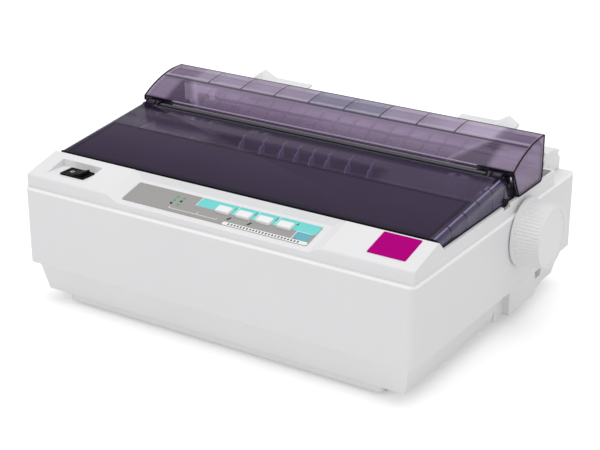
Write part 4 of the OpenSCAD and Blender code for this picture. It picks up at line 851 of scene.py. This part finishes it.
class MechanismLooks(PropertyGroup):
    belt_pitch: length("Belt pitch", "Spacing of the drive belt's teeth", 2.03 * MM)
    contact_pitch: length("Contact pitch", "Spacing of the contacts in the interface socket", 2.16 * MM)
    contacts: IntProperty(name="Contacts", min=1, max=18, default=18,
                          description="Contacts on each side of the interface socket's tongue")
    guide_ribs: FloatVectorProperty(name="Exit ribs", subtype="TRANSLATION", size=4, unit="LENGTH",
                                    description="Distance of the exit guide's ribs from the middle",
                                    default=(7.5 * MM, 23 * MM, 43 * MM, 64 * MM))


class StageLooks(PropertyGroup):
    azimuth: FloatProperty(name="Azimuth", description="Camera's turn to the right of the front",
                           subtype="ANGLE", default=math.radians(32.9))
    elevation: FloatProperty(name="Elevation", description="Camera's height over the horizon",
                             subtype="ANGLE", default=math.radians(22.59))
    lens: FloatProperty(name="Lens", description="Focal length on a 36 mm sensor, in millimetres",
                        min=10.0, default=91.55)
    sky: FloatProperty(name="Sky", description="Strength of the even light", min=0.0, default=0.74)
    key: FloatProperty(name="Key", description="Overhead soft box, in watts", min=0.0, default=16.0)
    fill: FloatProperty(name="Fill", description="Front soft box, in watts", min=0.0, default=4.8)
    floor_lift: share("Floor lift", "White added to the floor where the camera sees it", 0.3)


# ---------------- operators


class PRINTER_OT_case(Operator):
    """Dress the feet and the power switch, with softened edges"""

    bl_idname = "printer.case"
    bl_label = "Feet and switch"

    def execute(self, context):
        looks = context.scene.printer_case
        for node in ("switch_housing", "rocker", "rubber_feet"):
            softened(node, looks.fine_round)
        self.ring_mark(looks)
        return {"FINISHED"}

    @staticmethod
    def ring_mark(looks):
        """The plain ring on the side of the rocker that switches off."""
        middle = at(-149.7, 20.8, 117.6)
        steps = 28
        bm = bmesh.new()
        rings = []
        for width, height in ((0.7, -0.1), (1.0, -0.1), (1.0, 0.12), (0.7, 0.12)):
            r = looks.ring_radius * width
            turns = (math.tau * i / steps for i in range(steps))
            points = (Vector((r * math.cos(a), r * math.sin(a), height * MM)) for a in turns)
            rings.append([bm.verts.new(middle + point) for point in points])
        for inner, outer in zip(rings, rings[1:] + rings[:1]):
            join_rings(bm, inner, outer)
        mesh = mesh_from(bm, "rocker_ring_mark")
        ink = printed_film("ring_mark_ink", (0.8, 0.8, 0.8))
        add_piece("rocker_ring_mark", mesh, body_of("rocker"), "switch_black", ink)


class PRINTER_OT_covers(Operator):
    """Dress the lid and the hood in smoked plastic with dark edges"""

    bl_idname = "printer.covers"
    bl_label = "Lid and hood"

    def execute(self, context):
        looks = context.scene.printer_covers
        group = outline_group()
        for node, lit_front in (("front_lid", 0.0), ("rear_hood", 1.0)):
            softened(node, context.scene.printer_case.fine_round)
            edge = cover_edge(node + "_edge_finish", looks, lit_front)
            outlined(node, group, looks.edge_width / 2, edge)
        # Painted shade: smoked sheets close the view past the hood's knuckles
        self.front_webs()
        return {"FINISHED"}

    @staticmethod
    def front_webs():
        """Smoked sheets under the hood's front corners that stand in for the shade past the knuckles,
        closing the view there.
        """
        outline = ((156, 139), (156, 131), (158, 128), (162, 126.4), (167, 126), (180.5, 126), (180.5, 139))
        front, back = 163.5, 164.3
        bm = bmesh.new()
        for side in (-1, 1):
            upright = Matrix(((side, 0, 0, 0), (0, 0, 1, 0), (0, 1, 0, 0), (0, 0, 0, 1)))
            place = Matrix.Translation(at(0, 0, 0)) @ upright
            plate(bm, in_metres(outline), front * MM, back * MM, place)
        add_piece("hood_front_webs", mesh_from(bm, "hood_front_webs"), body_of("rear_hood"), "hood_smoke")


class PRINTER_OT_panel(Operator):
    """Print the control panel and dress its buttons"""

    bl_idname = "printer.panel"
    bl_label = "Control panel"

    def execute(self, context):
        looks = context.scene.printer_panel
        film = film_place("panel_overlay")
        line = looks.line_width / MM
        top = looks.ink_thickness
        middles = [self.middle_of(f"button_{i}") for i in range(1, 5)]
        gaps = [(a + b) / 2 for a, b in zip(middles, middles[1:])]
        width = (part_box("panel_overlay")[1].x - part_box("panel_overlay")[0].x) / MM

        # The printed shapes, in millimetres on the film: u from its left end and v up its slope
        band = [rect(64.4, 14.1, width, 25.3)]
        box = [rect(160.6, 3.2, width - 2.6, 13.6)]
        white = [rect(g - line / 2, 14.0, g + line / 2, 25.2) for g in gaps]
        white += [rect(63.9, 14.1, 64.4, 25.3), rect(98.3, 0.1, width - 0.2, 3.9, 1.6)]
        white += [rect(160.0, 3.2, 160.6, 14.1), rect(160.6, 13.6, width - 2.6, 14.1)]
        white += [rect(44.5, 3.6, 90.7, 3.6 + line), rect(44.5, 3.6, 44.5 + line, 6.0)]
        white += [rect(71.4, 3.6, 71.4 + line, 7.0), rect(90.7, 3.6, 90.7 + line, 5.4)]
        black = [[(g - 2.0, 6.4), (g + 0.2, 6.4), (g + 1.8, 10.2), (g - 0.4, 10.2)] for g in gaps[:2]]
        red = [rect(162.4, 4.6, 164.4, 6.4, 0.4)]
        self.print("panel_band", band, looks.band_colour, film, top * 0.5)
        self.print("panel_box", box, looks.box_colour, film, top * 0.5)
        self.print("panel_lines", white, PRINT_WHITE, film, top)
        self.print("panel_marks", black, PRINT_BLACK, film, top)
        self.print("panel_red_mark", red, PRINT_RED, film, top)
        tick = ((103.5 * MM, 1.0 * MM, 0.0), (104.9 * MM, 3.0 * MM, 1.6 * top))
        ink = printed_film("panel_scale_ink", PRINT_BLACK)
        row_piece("panel_scale", [tick], TICKS, TICK_PITCH, "case", "panel_grey", ink, film)
        for i, middle in enumerate(middles, 1):
            self.number(i, (middle + looks.number_shift / MM) * MM, 19.6 * MM, looks, film)
        for i in range(1, 5):
            softened(f"button_{i}", context.scene.printer_case.fine_round)
        return {"FINISHED"}

    @staticmethod
    def middle_of(node):
        low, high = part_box(node)
        return ((low.x + high.x) / 2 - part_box("panel_overlay")[0].x) / MM

    @staticmethod
    def number(value, u, v, looks, place):
        """Prints one plain number with its middle at u and its foot at v."""
        curve = bpy.data.curves.new(f"number_{value}", "FONT")
        curve.body = str(value)
        curve.size = looks.number_height / FIGURE_HEIGHT
        curve.align_x = "CENTER"
        curve.extrude = looks.ink_thickness
        bm = bmesh.new()
        bm.from_mesh(applied(linked(f"number_{value}_working", curve)))
        bmesh.ops.remove_doubles(bm, verts=bm.verts, dist=0.001 * MM)
        bm.transform(place @ Matrix.Translation((u, v, 0.0)))
        ink = printed_film(f"number_{value}_ink", looks.number_colour)
        name = f"panel_number_{value}"
        add_piece(name, mesh_from(bm, name), "case", "panel_grey", ink)

    @staticmethod
    def print(name, outlines, colour, place, height):
        """Lays flat ink of one colour over the film."""
        bm = bmesh.new()
        for outline in outlines:
            plate(bm, in_metres(outline), -0.02 * MM, height, place)
        ink = printed_film(name + "_ink", colour)
        add_piece(name, mesh_from(bm, name), "case", "panel_grey", ink)


class PRINTER_OT_guides(Operator):
    """Dress the knob, the sheet guide, its edge guides and the release lever"""

    bl_idname = "printer.guides"
    bl_label = "Knob and sheet guide"

    def execute(self, context):
        looks = context.scene.printer_case
        for node in ("knob", "sheet_guide", "left_edge_guide", "right_edge_guide", "release_lever"):
            softened(node, looks.fine_round)
        exit_guide = softened("exit_guide", looks.fine_round)
        ribs = context.scene.printer_mechanism.guide_ribs
        exit_guide.data.materials[0] = ribbed_guide("exit_guide_finish", ribs)
        return {"FINISHED"}


class PRINTER_OT_mechanism(Operator):
    """Finish the case halves and every inner node, and add the belt's teeth and the sockets' contacts"""

    bl_idname = "printer.mechanism"
    bl_label = "Case halves and mechanism"

    def execute(self, context):
        for node, obj in frame["nodes"].items():
            obj.data.materials[0] = finish_of(slot_of(node))
        looks = context.scene.printer_mechanism
        self.belt_teeth(looks)
        self.contacts(looks)
        return {"FINISHED"}

    @staticmethod
    def belt_teeth(looks):
        """Teeth on the inner side of both straight runs of the drive belt."""
        half, middle, inner = 118, 122, 6.3
        width, height = 1.0, 0.5
        foot, head = 42.7, 46.7
        runs = ((middle - inner, middle - inner + height), (middle + inner - height, middle + inner))
        bars = [(at(-half, y0, foot), at(-half + width, y1, head)) for y0, y1 in runs]
        count = int(2 * half * MM / looks.belt_pitch)
        row_piece("belt_teeth", bars, count, looks.belt_pitch, body_of("drive_belt"), "belt_rubber")

    @staticmethod
    def contacts(looks):
        """Contacts on the interface socket's tongue, and the mains inlet's bright pins."""
        socket_middle, half = -110, 0.45
        first = socket_middle - (looks.contacts - 1) * looks.contact_pitch / MM / 2
        sides = ((48.65, 49.1), (50.9, 51.35))
        bars = [(at(first - half, 274, z0), at(first + half, 281.6, z1)) for z0, z1 in sides]
        body = body_of("rear_sockets")
        row_piece("interface_contacts", bars, looks.contacts, looks.contact_pitch, body, "brass_part")
        pin = (at(83.85, 271, 53.85), at(86.15, 279.3, 56.15))
        row_piece("inlet_pins", [pin], 3, 6 * MM, body, "shaft_steel")


class PRINTER_OT_stage(Operator):
    """Set the floor, the soft light and the camera"""

    bl_idname = "printer.stage"
    bl_label = "Stage"

    def execute(self, context):
        looks = context.scene.printer_stage
        self.floor(looks)
        self.sky(context.scene, looks)
        self.soft_box("key_light", looks.key,
                      place=(0.0, 0.1, 2.2), size=(2.4, 1.8), target=(0.0, 0.0, 0.0))
        self.soft_box("fill_light", looks.fill,
                      place=(-0.5, -2.2, 0.9), size=(1.8, 1.2), target=(0.0, 0.0, 0.08))
        self.camera(context.scene, looks)
        return {"FINISHED"}

    @staticmethod
    def floor(looks):
        bm = bmesh.new()
        bmesh.ops.create_circle(bm, cap_ends=True, segments=96, radius=FLOOR_RADIUS)
        mesh = mesh_from(bm, "floor", turn_out=False)
        obj = linked("floor", mesh)
        f = Finish("floor_paper")
        grey = f.mix(f.noise(2 * MM), (0.88, 0.88, 0.88), (0.91, 0.91, 0.91))
        paper = f.principled(colour=grey, roughness=0.9, specular=0.0)
        seen = f.node("ShaderNodeLightPath", output="Is Camera Ray")
        lift = f.node("ShaderNodeEmission", {}, {"Color": WHITE, "Strength": seen * looks.floor_lift})
        mesh.materials.append(f.finish(f.node("ShaderNodeAddShader", {}, {0: paper, 1: lift})))

    @staticmethod
    def sky(scene, looks):
        world = bpy.data.worlds.new("studio")
        scene.world = world
        world.use_nodes = True
        world.node_tree.nodes.clear()
        tree = Tree(world.node_tree)
        seen = tree.node("ShaderNodeLightPath", output="Is Camera Ray")
        light = tree.node("ShaderNodeBackground", {}, {"Color": WHITE, "Strength": looks.sky})
        white = tree.node("ShaderNodeBackground", {}, {"Color": WHITE, "Strength": 1.0})
        both = tree.node("ShaderNodeMixShader", {}, {0: seen, 1: light, 2: white})
        tree.node("ShaderNodeOutputWorld", {}, {"Surface": both})

    @staticmethod
    def soft_box(name, power, place, size, target):
        light = bpy.data.lights.new(name, "AREA")
        light.shape = "RECTANGLE"
        light.size, light.size_y = size
        light.energy = power
        obj = linked(name, light)
        obj.location = place
        obj.rotation_mode = "QUATERNION"
        obj.rotation_quaternion = (Vector(target) - obj.location).to_track_quat("-Z", "Y")

    @staticmethod
    def camera(scene, looks):
        camera = bpy.data.cameras.new("camera")
        camera.sensor_width = SENSOR
        camera.lens = looks.lens
        camera.clip_end = 50.0
        obj = linked("camera", camera)
        turn, rise = looks.azimuth, looks.elevation
        ahead = Vector((-math.sin(turn) * math.cos(rise), math.cos(turn) * math.cos(rise), -math.sin(rise)))
        obj.location = CAMERA_PLACE
        obj.rotation_mode = "QUATERNION"
        obj.rotation_quaternion = ahead.to_track_quat("-Z", "Y")
        scene.camera = obj
        scene.view_settings.view_transform = "Standard"


STEPS = (PRINTER_OT_case, PRINTER_OT_covers, PRINTER_OT_panel, PRINTER_OT_guides, PRINTER_OT_mechanism,
         PRINTER_OT_stage)


class PRINTER_PT_looks(Panel):
    """The printer's looks, one button for each step"""

    bl_label = "Dot matrix printer"
    bl_idname = "PRINTER_PT_looks"
    bl_space_type = "VIEW_3D"
    bl_region_type = "UI"
    bl_category = "Printer"

    def draw(self, context):
        column = self.layout.column()
        for step in STEPS:
            column.operator(step.bl_idname)
        for group in GROUPS:
            looks = getattr(context.scene, group)
            for name in looks.bl_rna.properties.keys():
                if name not in ("rna_type", "name"):
                    column.prop(looks, name)


GROUPS = {"printer_case": CaseLooks, "printer_covers": CoverLooks, "printer_panel": PanelLooks,
          "printer_mechanism": MechanismLooks, "printer_stage": StageLooks}


def register():
    for kind in (*GROUPS.values(), *STEPS, PRINTER_PT_looks):
        bpy.utils.register_class(kind)
    for name, kind in GROUPS.items():
        setattr(bpy.types.Scene, name, PointerProperty(type=kind))


def unregister():
    for name in GROUPS:
        delattr(bpy.types.Scene, name)
    for kind in (PRINTER_PT_looks, *reversed(STEPS), *reversed(GROUPS.values())):
        bpy.utils.unregister_class(kind)


def main():
    register()
    for step in STEPS:
        family, name = step.bl_idname.split(".")
        getattr(getattr(bpy.ops, family), name)()


if __name__ == "__main__":
    main()
